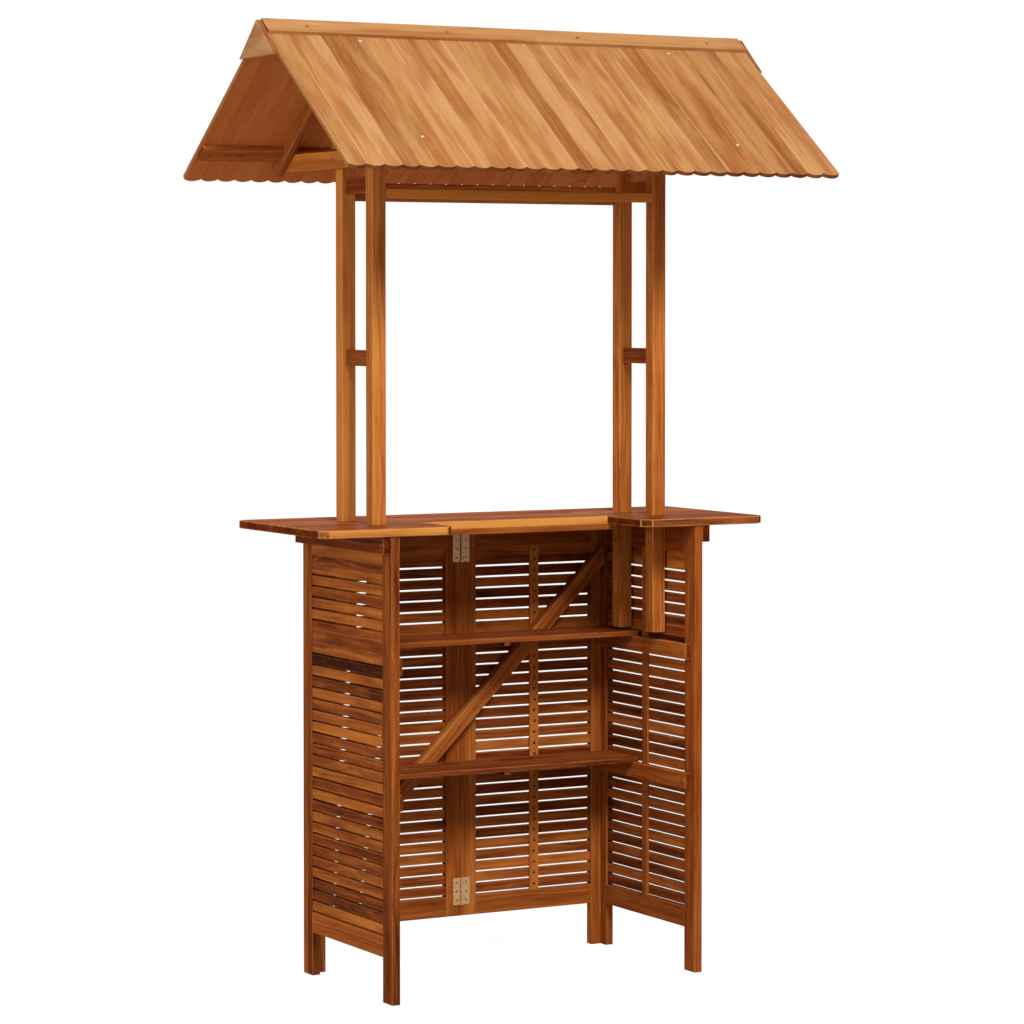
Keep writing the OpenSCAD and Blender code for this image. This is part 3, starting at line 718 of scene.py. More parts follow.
def welded_copy(node: str, name: str) -> Object:
    """Copies a node's mesh, welds its triangles and joins its flat faces.

    Args:
        node: The CAD node.
        name: Name of the new piece.

    Returns:
        The new piece, without a material.
    """
    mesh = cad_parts[node].data.copy()
    mesh.materials.clear()
    piece = bpy.data.objects.new(name, mesh)
    bpy.context.scene.collection.objects.link(piece)
    pick(piece)
    if mesh.has_custom_normals:
        bpy.ops.mesh.customdata_custom_splitnormals_clear()
    bpy.ops.object.mode_set(mode="EDIT")
    bpy.ops.mesh.select_mode(type="VERT")
    bpy.ops.mesh.select_all(action="SELECT")
    bpy.ops.mesh.remove_doubles(threshold=WELD)
    bpy.ops.mesh.dissolve_limited(angle_limit=FLAT)
    bpy.ops.object.mode_set(mode="OBJECT")
    return piece


def apply(modifier: bpy.types.Modifier) -> None:
    """Applies a modifier of the active piece."""
    bpy.ops.object.modifier_apply(modifier=modifier.name)


def ease_edges(piece: Object, width: float, shortest: float = 1.6 * MM) -> None:
    """Rounds the outer edges of a piece and marks the rounded faces in the attribute ease.

    Args:
        piece: The piece.
        width: Width of the rounding.
        shortest: Edges shorter than this, such as those of a bore, stay sharp.
    """
    mesh = piece.data
    shape = bmesh.new()
    shape.from_mesh(mesh)
    weight = shape.edges.layers.float.new("bevel_weight_edge")
    for edge in shape.edges:
        sharp = len(edge.link_faces) == 2 and edge.calc_face_angle_signed(0.0) > SHARP
        edge[weight] = 1.0 if sharp and edge.calc_length() > shortest else 0.0
    shape.to_mesh(mesh)
    shape.free()
    blank = bpy.data.materials.get("blank") or bpy.data.materials.new("blank")
    mesh.materials.append(blank)
    mesh.materials.append(blank)
    pick(piece)
    rounding = piece.modifiers.new("ease", "BEVEL")
    rounding.limit_method = "WEIGHT"
    rounding.width = width
    rounding.segments = EASE_STEPS
    rounding.material = 1
    apply(rounding)
    eased = mesh.attributes.new("ease", "FLOAT", "CORNER")
    for face in mesh.polygons:
        for corner in face.loop_indices:
            eased.data[corner].value = float(face.material_index == 1)
        face.material_index = 0
    bpy.ops.object.shade_smooth_by_angle(angle=SMOOTH_TIMBER)
    flat = piece.modifiers.new("flat_faces", "WEIGHTED_NORMAL")
    flat.keep_sharp = True
    apply(flat)


def middle_of(points: list[Vector]) -> Vector:
    """Returns the mean of some points."""
    return sum(points, Vector()) / len(points)


def loose_parts(mesh: bpy.types.Mesh) -> list[list[int]]:
    """Groups a mesh's vertices by the solid that they belong to.

    Args:
        mesh: The mesh.

    Returns:
        The vertices of each solid, in order of the solids' height, then of their place.
    """
    parent = list(range(len(mesh.vertices)))

    def root(vertex: int) -> int:
        """Finds the vertex that stands for a vertex's solid.

        Args:
            vertex: The vertex.

        Returns:
            The one that stands for the solid.
        """
        while parent[vertex] != vertex:
            parent[vertex] = parent[parent[vertex]]
            vertex = parent[vertex]
        return vertex

    def place(group: list[int]) -> Triple:
        """Returns the height, then the place, of a solid's middle."""
        middle = middle_of([mesh.vertices[vertex].co for vertex in group])
        return round(middle.z, 3), round(middle.x, 3), round(middle.y, 3)

    for edge in mesh.edges:
        first, second = root(edge.vertices[0]), root(edge.vertices[1])
        if first != second:
            parent[first] = second
    groups: dict[int, list[int]] = {}
    for vertex in range(len(mesh.vertices)):
        groups.setdefault(root(vertex), []).append(vertex)
    return sorted(groups.values(), key=place)


def widen_boards(piece: Object, across: Vector, more: float) -> None:
    """Makes each board of a piece a little wider, so that no light passes between them.

    Args:
        piece: The piece.
        across: Direction across the boards.
        more: How much wider each board becomes.
    """
    vertices = piece.data.vertices
    for group in loose_parts(piece.data):
        middle = middle_of([vertices[vertex].co for vertex in group])
        half = max(abs((vertices[vertex].co - middle).dot(across)) for vertex in group)
        for vertex in group:
            offset = (vertices[vertex].co - middle).dot(across)
            vertices[vertex].co += across * (offset / half * more / 2)


# Thresholds of the face masks: painted shade on faces that look down, painted light on faces toward the
# camera, and end grain.
LOOKS_DOWN = -0.7
LOOKS_NEAR = -0.5
IS_END = 0.6
GRAIN_ATTRIBUTES = (("grain", "FLOAT_VECTOR", "POINT"), ("board", "FLOAT_VECTOR", "POINT"),
                    ("across", "FLOAT", "POINT"), ("under", "FLOAT", "FACE"), ("near", "FLOAT", "FACE"),
                    ("end", "FLOAT", "FACE"))
LOG_LENGTH = 30.0
LOG_RADII = (0.02, 0.11)


def lay_grain(piece: Object, axes: Axes, tones: Span, single_tones: dict[int, float]) -> None:
    """Says for each solid of a piece where it was cut from the log, and its tone and hue.

    Args:
        piece: The piece.
        axes: Directions along the fibres, across the face and out of it.
        tones: Lowest and highest tone.
        single_tones: Tones of single solids, by their number from the bottom.
    """
    mesh = piece.data
    source = seed_of(piece.name)
    for name, kind, domain in GRAIN_ATTRIBUTES:
        mesh.attributes.new(name, kind, domain)
    grain, board, across, under, near, end = (mesh.attributes[name].data for name, _, _ in GRAIN_ATTRIBUTES)
    # Face masks for painted shade on faces that look down, painted light on faces toward the camera, and end
    # grain, which is darkened partly as painted shade.
    for face in mesh.polygons:
        under[face.index].value = float(face.normal.z < LOOKS_DOWN)
        near[face.index].value = float(face.normal.y < LOOKS_NEAR)
        end[face.index].value = float(abs(face.normal.dot(axes[0])) > IS_END)
    for number, group in enumerate(loose_parts(mesh)):
        middle = middle_of([mesh.vertices[vertex].co for vertex in group])
        turn, radius = source.uniform(0, math.tau), source.uniform(*LOG_RADII)
        start = Vector((source.uniform(0, LOG_LENGTH), radius * math.cos(turn), radius * math.sin(turn)))
        tone = source.uniform(*tones)
        mark = Vector((single_tones.get(number, tone), source.uniform(0, 1), 0.0))
        half = max(abs((mesh.vertices[vertex].co - middle).dot(axes[1])) for vertex in group)
        side = source.choice((-1.0, 1.0)) / half
        for vertex in group:
            offset = mesh.vertices[vertex].co - middle
            grain[vertex].vector = start + Vector([offset.dot(axis) for axis in axes])
            board[vertex].vector = mark
            across[vertex].value = offset.dot(axes[1]) * side


@dataclass
class Timber:
    """One node of the bar that is made of wood."""

    node: str
    finish: WoodFinish
    run: Run | Axes
    ease: float
    tones: Span = (0.2, 0.8)
    single_tones: dict[int, float] = field(default_factory=dict)
    wider: float = 0.0

    def build(self) -> None:
        """Makes the eased, grained piece that stands for the node."""
        piece = welded_copy(self.node, self.node + "_timber")
        axes = self.run.axes() if isinstance(self.run, Run) else self.run
        if self.wider:
            widen_boards(piece, axes[1], self.wider)
        ease_edges(piece, self.ease)
        lay_grain(piece, axes, self.tones, self.single_tones)
        settle(piece, self.finish.material(), (self.node,))


def join(pieces: list[Object], name: str) -> Object:
    """Joins pieces into the first of them.

    Args:
        pieces: The pieces.
        name: Name of the joined piece.

    Returns:
        The joined piece.
    """
    deselect()
    for piece in pieces:
        piece.select_set(True)
    bpy.context.view_layer.objects.active = pieces[0]
    if len(pieces) > 1:
        bpy.ops.object.join()
    pieces[0].name = name
    return pieces[0]


def join_copies(model: Object, places: list[Matrix], name: str) -> Object:
    """Copies a modelled piece to each place and joins the copies.

    Args:
        model: The piece, modelled at the origin. It is removed.
        places: Where the copies go.
        name: Name of the joined piece.

    Returns:
        The joined piece, its object at the origin.
    """
    copies = []
    for place in places:
        copy = bpy.data.objects.new(name, model.data.copy())
        copy.data.transform(place)
        bpy.context.scene.collection.objects.link(copy)
        copies.append(copy)
    bpy.data.objects.remove(model)
    return join(copies, name)


def cylinder(sides: int, radius: float, length: float, middle: float) -> Object:
    """Adds an upright cylinder on the Z axis, its object at the origin.

    Args:
        sides: Number of sides.
        radius: Its radius.
        length: Its length.
        middle: Height of its middle.

    Returns:
        The cylinder.
    """
    deselect()
    bpy.ops.mesh.primitive_cylinder_add(vertices=sides, radius=radius, depth=length, location=(0, 0, middle))
    bpy.ops.object.transform_apply(location=True, rotation=True, scale=True)
    return bpy.context.object


def facing(out: Vector) -> Matrix:
    """Returns the turn that makes +Z look along a direction."""
    return UP.rotation_difference(out).to_matrix().to_4x4()


@dataclass(frozen=True)
class Nail:
    """A nail, of which only the low round head shows."""

    radius: float
    height: float = 0.7 * MM
    sink: float = 0.1 * MM
    rounding: float = 0.55

    def model(self) -> Object:
        """Models one head that stands on the origin and looks along +Z.

        Returns:
            The head.
        """
        head = cylinder(12, self.radius, self.height, self.height / 2)
        dome = head.modifiers.new("dome", "BEVEL")
        dome.width = self.height * self.rounding
        dome.segments = 2
        dome.limit_method = "ANGLE"
        apply(dome)
        bpy.ops.object.shade_smooth_by_angle(angle=SMOOTH_NAIL)
        return head

    def drive(self, spots: list[Vector], out: Vector, name: str) -> None:
        """Drives nails into a face and settles them as one piece.

        Args:
            spots: Points on the face.
            out: Direction that the face looks in.
            name: Name of the piece.
        """
        places = [Matrix.Translation(spot - out * self.sink) @ facing(out) for spot in spots]
        settle(join_copies(self.model(), places, name), NAIL_STEEL.material())


@dataclass(frozen=True)
class PanelTones:
    """Lowest and highest tones of a panel's pieces, where 0 is dark and 1 is light."""

    uprights: Span
    rails: Span
    slats: Span
    strip: Span
    single_slats: dict[int, float] = field(default_factory=dict)


LEFT_TONES = PanelTones((-0.4, -0.1), (0.8, 1.1), (0.1, 0.85), (0.5, 0.8),
                        {22: -0.1, 23: 0.75, 16: 0.95, 19: 0.9, 26: 0.85, 10: 0.9})
RIGHT_TONES = PanelTones((0.1, 0.3), (0.2, 0.6), (0.1, 0.85), (0.5, 0.8))
LEAF_TONES = PanelTones((0.3, 0.45), (0.35, 0.6), (0.25, 1.0), (1.2, 1.4))


@dataclass
class Panel:
    """A slatted panel: two uprights, two rails, slats and the strip that they are nailed to."""

    names: tuple[str, str]
    prefix: str
    rail_run: Run
    upright_run: Run
    inner: Vector
    tones: PanelTones
    nail: Nail
    post_ease: float = 2.6 * MM
    rail_ease: float = 1.2 * MM
    slat_ease: float = 1.1 * MM
    strip_ease: float = 1.0 * MM
    nail_sway_up: float = 1.2 * MM
    nail_sway_aside: float = 1.5 * MM

    def build(self) -> None:
        """Builds every piece of the panel."""
        for name in self.names:
            Timber(name, POST_WOOD, self.upright_run, self.post_ease, self.tones.uprights).build()
        for name in ("top_rail", "bottom_rail"):
            Timber(self.prefix + name, RAIL_WOOD, self.rail_run, self.rail_ease, self.tones.rails).build()
        Timber(self.prefix + "slats", SLAT_WOOD, self.rail_run, self.slat_ease, self.tones.slats,
               self.tones.single_slats).build()
        Timber(self.prefix + "mullion", RAIL_WOOD, self.upright_run, self.strip_ease,
               self.tones.strip).build()
        self.nails()

    def nails(self) -> None:
        """Drives a small nail through the strip into each slat."""
        low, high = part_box(self.prefix + "mullion")
        centre = (low + high) / 2
        face = max((low - centre).dot(self.inner), (high - centre).dot(self.inner))
        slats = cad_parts[self.prefix + "slats"].data
        heights = sorted({round(vertex.co.z, 5) for vertex in slats.vertices})
        source = seed_of(self.prefix + "nails")
        spots = []
        for bottom, top in zip(heights[0::2], heights[1::2]):
            spot = centre + self.inner * face
            spot.z = (bottom + top) / 2 + source.uniform(-1, 1) * self.nail_sway_up
            spot += self.inner.cross(UP) * source.uniform(-1, 1) * self.nail_sway_aside
            spots.append(spot)
        self.nail.drive(spots, self.inner, self.prefix + "nails")


PAN_STEPS = ((0.45, 1.0), (0.35, 0.9), (0.2, 0.72))
SCREW_END = 9 * MM


class Drive(Enum):
    """The head of a screw."""

    PAN = "pan"
    COUNTERSUNK = "countersunk"


@dataclass(frozen=True)
class Screw:
    """A cross-recessed screw that points down.

    A pan head's underside lies at the origin, and so does a sunk head's outer face.
    """

    drive: Drive
    head_r: float
    head_h: float
    shank_r: float
    sides: int = 20
    recess_l: float = 1.1
    recess_w: float = 0.26
    recess_d: float = 1.1

    def proud(self) -> float:
        """Returns how far the head stands above the origin."""
        return self.head_h if self.drive is Drive.PAN else 0.0

    def model(self, length: float) -> Object:
        """Models the screw along -Z, with its head on top.

        Args:
            length: Length below the origin.

        Returns:
            The screw.
        """
        screw = cylinder(self.sides, self.shank_r, length, -length / 2)
        bpy.ops.object.mode_set(mode="EDIT")
        shape = bmesh.from_edit_mesh(screw.data)
        for face in shape.faces:
            face.select = face.normal.z > 0.9
        bmesh.update_edit_mesh(screw.data)
        if self.drive is Drive.PAN:
            steps = ((0.0, self.head_r / self.shank_r), *PAN_STEPS)
        else:
            steps = ((1.0, self.head_r / self.shank_r),)
            bpy.ops.transform.translate(value=(0, 0, -self.head_h))
        for up, factor in steps:
            bpy.ops.mesh.extrude_region_move(TRANSFORM_OT_translate={"value": (0, 0, up * self.head_h)})
            bpy.ops.transform.resize(value=(factor, factor, 1), center_override=(0, 0, 0))
        bpy.ops.object.mode_set(mode="OBJECT")
        self.cut_cross(screw)
        return screw

    def cut_cross(self, screw: Object) -> None:
        """Cuts the cross recess into the head.

        Args:
            screw: The modelled screw.
        """
        top = max(vertex.co.z for vertex in screw.data.vertices)
        for turn in (0.0, math.pi / 2):
            deselect()
            bpy.ops.mesh.primitive_cube_add(size=1, location=(0, 0, top), rotation=(0, 0, turn))
            blade = bpy.context.object
            blade.scale = (self.head_r * self.recess_l, self.head_r * self.recess_w,
                           self.head_h * self.recess_d)
            pick(screw)
            cut = screw.modifiers.new("recess", "BOOLEAN")
            cut.operation = "DIFFERENCE"
            cut.object = blade
            apply(cut)
            bpy.data.objects.remove(blade)
        bpy.ops.object.shade_smooth_by_angle(angle=SMOOTH_SCREW)


def screw_places(node: str) -> list[tuple[Matrix, float]]:
    """Finds where the screws of a node sit.

    Args:
        node: A node whose solids are screws.

    Returns:
        For each screw the place of its head's outer face, looking out along +Z, and its full length.
    """
    source = welded_copy(node, "screws")
    found = []
    for group in loose_parts(source.data):
        points = [source.data.vertices[vertex].co.copy() for vertex in group]
        middle = middle_of(points)
        tip = max(points, key=lambda point: (point - middle).length)
        far = max(points, key=lambda point: (point - tip).length)
        ends = [[point for point in points if (point - end).length < SCREW_END] for end in (tip, far)]
        centres = [middle_of(end) for end in ends]
        axis = (centres[1] - centres[0]).normalized()
        radii = [max((point - centre).cross(axis).length for point in end)
                 for end, centre in zip(ends, centres)]
        head = 1 if radii[1] > radii[0] else 0
        out = axis if head else -axis
        reach = [point.dot(out) for point in points]
        spot = centres[head] + out * (max(reach) - centres[head].dot(out))
        found.append((Matrix.Translation(spot) @ facing(out), max(reach) - min(reach)))
    bpy.data.objects.remove(source)
    return found


@dataclass
class Fasteners:
    """The wood screws and the hinges' screws."""

    wood: Screw = Screw(Drive.PAN, 3.8 * MM, 1.5 * MM, 1.9 * MM)
    hinge: Screw = Screw(Drive.COUNTERSUNK, 2.6 * MM, 1.5 * MM, 1.3 * MM)
    hinge_tarnish: float = 0.8
    lit_heights: Span = (1.7, 2.135)
    lit_depth: float = 0.02

    def tarnish(self, place: Matrix) -> float:
        """Says how dark a wood screw is painted: only those on the near side up under the roof stay bright,
        and the others are darkened as painted shade.

        Args:
            place: Where the screw sits.

        Returns:
            0 for a bright screw, 1 for one darkened as painted shade.
        """
        spot = place.translation
        low, high = self.lit_heights
        return 0.0 if low < spot.z < high and spot.y < self.lit_depth else 1.0

    def build(self) -> None:
        """Models both kinds of screw and puts them where the solids have them."""
        self.group("wood_screws", self.wood, STEEL)
        self.group("hinge_screws", self.hinge, BRASS)

    def group(self, node: str, screw: Screw, finish: MetalFinish) -> None:
        """Replaces a node of screws by modelled ones.

        Args:
            node: The node.
            screw: The kind of screw.
            finish: Its metal.
        """
        source = seed_of(node)
        kinds: dict[Span, list[Matrix]] = {}
        for place, length in screw_places(node):
            spin = Matrix.Rotation(source.uniform(0, math.pi), 4, "Z")
            seat = Matrix.Translation((0, 0, -screw.proud()))
            # Wood screws away from the lit near side of the roof get painted shade; hinge screws get tarnish.
            dull = self.tarnish(place) if screw.drive is Drive.PAN else self.hinge_tarnish
            kinds.setdefault((round(length, 4), dull), []).append(place @ seat @ spin)
        parts = []
        for (length, dull), places in sorted(kinds.items()):
            model = screw.model(length - screw.proud())
            mark = model.data.attributes.new("tarnish", "FLOAT", "POINT")
            mark.data.foreach_set("value", [dull] * len(model.data.vertices))
            parts.append(join_copies(model, places, f"{node}_{len(parts)}"))
        settle(join(parts, node + "_cross_head"), finish.material(), (node,))


@dataclass
class Hinges:
    """The two butt hinges of the front panel."""

    leaf_ease: float = 0.4 * MM
    shortest_edge: float = 3 * MM

    def build(self) -> None:
        """Eases the stamped leaves and the pins."""
        for node in ("hinge_left_leaves", "hinge_right_leaves", "hinge_pins"):
            piece = welded_copy(node, node + "_brass")
            ease_edges(piece, self.leaf_ease, self.shortest_edge)
            settle(piece, BRASS.material(), (node,))


@dataclass
class Cabinet:
    """The slatted base: two side panels, two front leaves, the brace and the shelves."""

    side_nail: Nail = Nail(2.3 * MM)
    leaf_nail: Nail = Nail(3.6 * MM)
    brace_ease: float = 4.0 * MM
    shelf_ease: float = 2.5 * MM
    batten_ease: float = 1.5 * MM
    brace_tones: Span = (0.55, 0.65)
    shelf_tones: Span = (0.3, 0.6)
    batten_tones: Span = (0.4, 0.7)

    def build(self) -> None:
        """Builds the panels, the brace and the shelves."""
        for side, inward, tones in (("left", 1, LEFT_TONES), ("right", -1, RIGHT_TONES)):
            Panel((side + "_near_post", side + "_far_post"), side + "_", Run.DEPTH, Run.HEIGHT_DEEP,
                  Vector((inward, 0, 0)), tones, self.side_nail).build()
            leaf = "front_" + side + "_"
            Panel((leaf + "end_stile", leaf + "hinge_stile"), leaf, Run.LENGTH_UPRIGHT, Run.HEIGHT_WIDE,
                  Vector((0, -1, 0)), LEAF_TONES, self.leaf_nail).build()
        low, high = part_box("diagonal_brace")
        slope = leaning(Vector((high.x - low.x, 0, high.z - low.z)), UP)
        Timber("diagonal_brace", POST_WOOD, slope, self.brace_ease, self.brace_tones).build()
        for name in ("upper_shelf", "lower_shelf"):
            Timber(name, SHELF_WOOD, Run.LENGTH, self.shelf_ease, self.shelf_tones).build()
            Timber(name + "_battens", RAIL_WOOD, Run.DEPTH, self.batten_ease, self.batten_tones).build()


@dataclass
class Counter:
    """The counter with its wings, its batten and the cleats outside the side panels."""

    top_ease: float = 2.5 * MM
    batten_ease: float = 1.5 * MM
    wing_tones: Span = (0.4, 0.6)
    middle_tones: Span = (0.5, 0.8)
    batten_tones: Span = (0.4, 0.6)
    cleat_tones: Span = (0.2, 0.5)

    def build(self) -> None:
        """Builds the glued boards and what carries them."""
        for name, tones in (("left_wing", self.wing_tones), ("right_wing", self.wing_tones),
                            ("middle", self.middle_tones)):
            Timber("counter_" + name, COUNTER_WOOD, Run.LENGTH, self.top_ease, tones).build()
        Timber("counter_batten", RAIL_WOOD, Run.LENGTH, self.batten_ease, self.batten_tones).build()
        Timber("counter_cleats", SHELF_WOOD, Run.DEPTH, self.batten_ease, self.cleat_tones).build()


@dataclass
class RoofStand:
    """The four posts, their spacers and the two battens between them."""

    post_ease: float = 2.2 * MM
    spacer_ease: float = 1.5 * MM
    near_batten_ease: float = 3.0 * MM
    far_batten_ease: float = 6.0 * MM
    post_tones: Span = (0.85, 1.0)
    # Painted light: the far-left post is made lighter than the other posts, beyond the usual range of tones.
    far_left_lit_tones: Span = (1.45, 1.5)
    near_right_tones: Span = (0.65, 0.7)
    spacer_tones: Span = (0.2, 0.5)
    # Painted light: the near batten, which lies in the shade of the eave, gets a tone far above the range.
    near_batten_lit_tones: Span = (2.0, 2.0)
    far_batten_tones: Span = (0.8, 0.8)

    def build(self) -> None:
        """Builds the stand."""
        for place, tones in (("near_left", self.post_tones), ("far_left", self.far_left_lit_tones),
                             ("near_right", self.near_right_tones), ("far_right", self.post_tones)):
            Timber(place + "_roof_post", POST_WOOD, Run.HEIGHT_WIDE, self.post_ease, tones).build()
        for name in ("lower_spacers", "upper_spacers"):
            Timber(name, SHELF_WOOD, Run.DEPTH, self.spacer_ease, self.spacer_tones).build()
        for name, ease, tones in (("near", self.near_batten_ease, self.near_batten_lit_tones),
                                  ("far", self.far_batten_ease, self.far_batten_tones)):
            Timber(name + "_top_batten", BEAM_WOOD, Run.LENGTH, ease, tones).build()


@dataclass
class Roof:
    """The roof: ties, rafters, purlins, boards, ridge caps and gable plates."""

    pitch: float = math.radians(37)
    board_ease: float = 0.7 * MM
    board_joint: float = 0.56 * MM
    beam_ease: float = 1.8 * MM
    trim_ease: float = 1.5 * MM
    nail: Nail = Nail(2.2 * MM)
    nail_sway_aside: float = 3 * MM
    nail_sway_down: float = 2 * MM
    board_tops: float = 2.1
    board_tones: Span = (0.1, 0.9)
    eave_tones: Span = (0.3, 0.6)
    cap_tones: Span = (0.5, 0.9)
    # Painted light: the gable plates get tones above the range, so that they look more lit.
    gable_lit_tones: Span = (1.3, 1.4)
    tie_tones: Span = (0.9, 1.0)

    def down(self, side: float) -> Vector:
        """Returns the way down the far slope, or with side -1 down the near slope."""
        return Vector((0, side * math.cos(self.pitch), -math.sin(self.pitch)))

    def build(self) -> None:
        """Builds the roof."""
        for name, side in (("near", -1.0), ("far", 1.0)):
            slope = leaning(self.down(side), Vector((1, 0, 0)))
            Timber(name + "_roof_boards", ROOF_WOOD, slope, self.board_ease, self.board_tones,
                   wider=self.board_joint).build()
            Timber(name + "_eave_purlin", BEAM_WOOD, leaning(Vector((1, 0, 0)), self.down(side)),
                   self.beam_ease, self.eave_tones).build()
            self.nails(name, side)
            for hand in ("left", "right"):
                Timber(f"{hand}_{name}_rafter", BEAM_WOOD, slope, self.beam_ease).build()
        Timber("ridge_purlins", BEAM_WOOD, Run.LENGTH, self.beam_ease).build()
        Timber("ridge_caps", ROOF_WOOD, Run.LENGTH, self.trim_ease, self.cap_tones).build()
        Timber("gable_plates", ROOF_WOOD, Run.DEPTH, self.trim_ease, self.gable_lit_tones).build()
        for hand in ("left", "right"):
            Timber(hand + "_tie", BEAM_WOOD, Run.DEPTH, self.beam_ease, self.tie_tones).build()

    def nails(self, name: str, side: float) -> None:
        """Drives one nail through the eave purlin into each board.

        Args:
            name: Name of the slope.
            side: 1 for the far slope, -1 for the near one.
        """
        down = self.down(side)
        inward = -Vector((0, side * math.sin(self.pitch), math.cos(self.pitch)))
        corners = [vertex.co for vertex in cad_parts[name + "_eave_purlin"].data.vertices]
        level = max(corner.dot(inward) for corner in corners)
        along = [corner.dot(down) for corner in corners]
        middle = (min(along) + max(along)) / 2
        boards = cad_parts[name + "_roof_boards"].data
        edges = sorted({round(vertex.co.x, 4) for vertex in boards.vertices if vertex.co.z > self.board_tops})
        source = seed_of(name + "_nails")
        spots = []
        for left, right in zip(edges[0::2], edges[1::2]):
            spot = Vector(((left + right) / 2 + source.uniform(-1, 1) * self.nail_sway_aside, 0, 0))
            spot += inward * level + down * (middle + source.uniform(-1, 1) * self.nail_sway_down)
            spots.append(spot)
        self.nail.drive(spots, inward, name + "_roof_nails")


@dataclass(frozen=True)
class Lamp:
    """One soft square lamp, its power in watts."""

    name: str
    place: Triple
    aim: Triple
    size: float
    power: float

    def build(self) -> None:
        """Hangs the lamp up and turns it to what it lights."""
        data = bpy.data.lights.new(self.name, "AREA")
        data.size = self.size
        data.energy = self.power
        lamp = bpy.data.objects.new(self.name, data)
        lamp.location = self.place
        lamp.rotation_euler = (Vector(self.aim) - Vector(self.place)).to_track_quat("-Z", "Y").to_euler()
        bpy.context.scene.collection.objects.link(lamp)


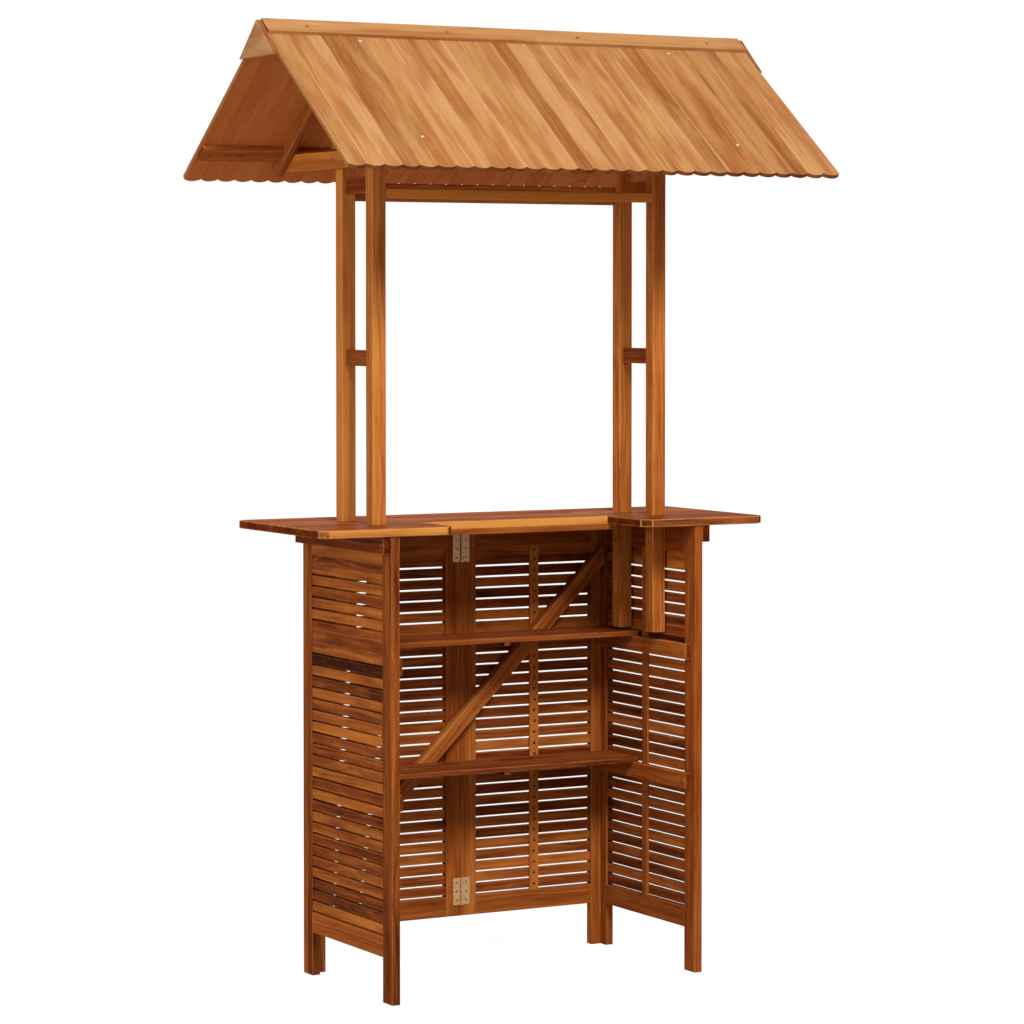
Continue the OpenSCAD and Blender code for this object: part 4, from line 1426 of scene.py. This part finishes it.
@dataclass
class Studio:
    """The camera, the lamps, the floor and the white surroundings."""

    focal_mm: float = 123.16
    sensor_mm: float = 36.0
    camera_at: Triple = (-3.8943, -6.991, 1.5425)
    turn_deg: float = 29.18
    down_deg: float = 1.97
    shift_y: float = -0.0870
    view_depth: float = 200.0
    floor_size: float = 60.0
    floor_drop: float = 0.5 * MM
    shadow_span: Span = (0.5, 1.6)
    glow: float = 1.07
    glow_near: float = 0.88
    floor_paint: Triple = (0.85, 0.85, 0.85)
    floor_bounce: Triple = (0.42, 0.38, 0.34)
    room_light: Triple = (1.0, 0.94, 0.86)
    room_power: float = 0.34
    lamps: tuple[Lamp, ...] = (Lamp("key", (-0.8, -4.8, 5.4), (0, 0, 1.2), 2.0, 420),
                               Lamp("fill", (-5.2, -1.6, 2.0), (0, 0, 1.1), 3.0, 128),
                               Lamp("back", (2.6, 5.4, 3.4), (0, 0, 1.2), 3.0, 200))

    def build(self) -> None:
        """Sets up everything that the bar is seen in."""
        self.camera()
        self.floor()
        for lamp in self.lamps:
            lamp.build()
        self.surroundings()
        bpy.context.scene.view_settings.view_transform = "Standard"

    def camera(self) -> None:
        """Places the camera where the picture was taken from."""
        data = bpy.data.cameras.new("camera")
        data.lens = self.focal_mm
        data.sensor_width = self.sensor_mm
        data.shift_y = self.shift_y
        data.clip_end = self.view_depth
        data.dof.use_dof = False
        camera = bpy.data.objects.new("camera", data)
        camera.location = self.camera_at
        camera.rotation_euler = (math.radians(90 - self.down_deg), 0, -math.radians(self.turn_deg))
        bpy.context.scene.collection.objects.link(camera)
        bpy.context.scene.camera = camera

    def floor(self) -> None:
        """Lays a plain pale floor that keeps a soft shadow."""
        deselect()
        bpy.ops.mesh.primitive_plane_add(size=self.floor_size, location=(0, 0, -self.floor_drop))
        floor = bpy.context.object
        floor.name = "floor"
        shader = Shader("pale_floor")
        away = shader.smooth(shader.vector("LENGTH", shader.object_place(), output="Value"),
                             *self.shadow_span)
        glow = self.lit(shader.tree, "ShaderNodeEmission", (1.0, 1.0, 1.0), self.glow)
        paint = self.lit(shader.tree, "ShaderNodeBsdfDiffuse", self.floor_paint)
        plain = self.lit(shader.tree, "ShaderNodeBsdfDiffuse", self.floor_bounce)
        share = shader.maths("MULTIPLY_ADD", away, 1 - self.glow_near, self.glow_near)
        seen = self.choose(shader.tree, share, paint, glow)
        shown = self.choose(shader.tree, self.seen_rays(shader.tree), plain, seen)
        shader.put(shader.output.inputs["Surface"], shown)
        floor.data.materials.append(shader.material)

    def lit(self, tree: bpy.types.NodeTree, kind: str, tint: Triple, strength: float | None = None) -> Socket:
        """Adds a plain shader, an emission or a background.

        Args:
            tree: The node tree.
            kind: Type of the node.
            tint: Its linear colour.
            strength: Its strength, where it has one.

        Returns:
            The shader's output socket.
        """
        node = tree.nodes.new(kind)
        node.inputs["Color"].default_value = (*tint, 1)
        if strength is not None:
            node.inputs["Strength"].default_value = strength
        return node.outputs[0]

    def choose(self, tree: bpy.types.NodeTree, share: Socket, first: Socket, second: Socket) -> Socket:
        """Mixes two shaders.

        Args:
            tree: The node tree.
            share: Share of the second shader.
            first: First shader.
            second: Second shader.

        Returns:
            The mixed shader.
        """
        node = tree.nodes.new("ShaderNodeMixShader")
        for target, value in zip(node.inputs, (share, first, second)):
            tree.links.new(value, target)
        return node.outputs[0]

    def seen_rays(self, tree: bpy.types.NodeTree) -> Socket:
        """Finds the rays that show the surroundings: to the camera, in gloss and through glass.

        Args:
            tree: The node tree.

        Returns:
            1 for these rays, 0 for others.
        """
        path = tree.nodes.new("ShaderNodeLightPath")
        share = path.outputs["Is Camera Ray"]
        for kind in ("Is Glossy Ray", "Is Transmission Ray"):
            higher = tree.nodes.new("ShaderNodeMath")
            higher.operation = "MAXIMUM"
            tree.links.new(share, higher.inputs[0])
            tree.links.new(path.outputs[kind], higher.inputs[1])
            share = higher.outputs[0]
        return share

    def surroundings(self) -> None:
        """Makes the surroundings white to look at, and a plain soft light otherwise."""
        world = bpy.data.worlds.new("surroundings")
        bpy.context.scene.world = world
        world.use_nodes = True
        tree = world.node_tree
        tree.nodes.clear()
        output = tree.nodes.new("ShaderNodeOutputWorld")
        light = self.lit(tree, "ShaderNodeBackground", self.room_light, self.room_power)
        white = self.lit(tree, "ShaderNodeBackground", (1.0, 1.0, 1.0), 1.0)
        shown = self.choose(tree, self.seen_rays(tree), light, white)
        tree.links.new(shown, output.inputs["Surface"])


def main() -> None:
    """Builds the bar, part by part, and the studio around it."""
    logging.basicConfig(level=logging.INFO, format="%(message)s")
    for part in (Studio(), Cabinet(), Hinges(), Counter(), RoofStand(), Roof(), Fasteners()):
        part.build()
        log.info("%s is built", type(part).__name__)
    deselect()


if __name__ == "__main__":
    main()
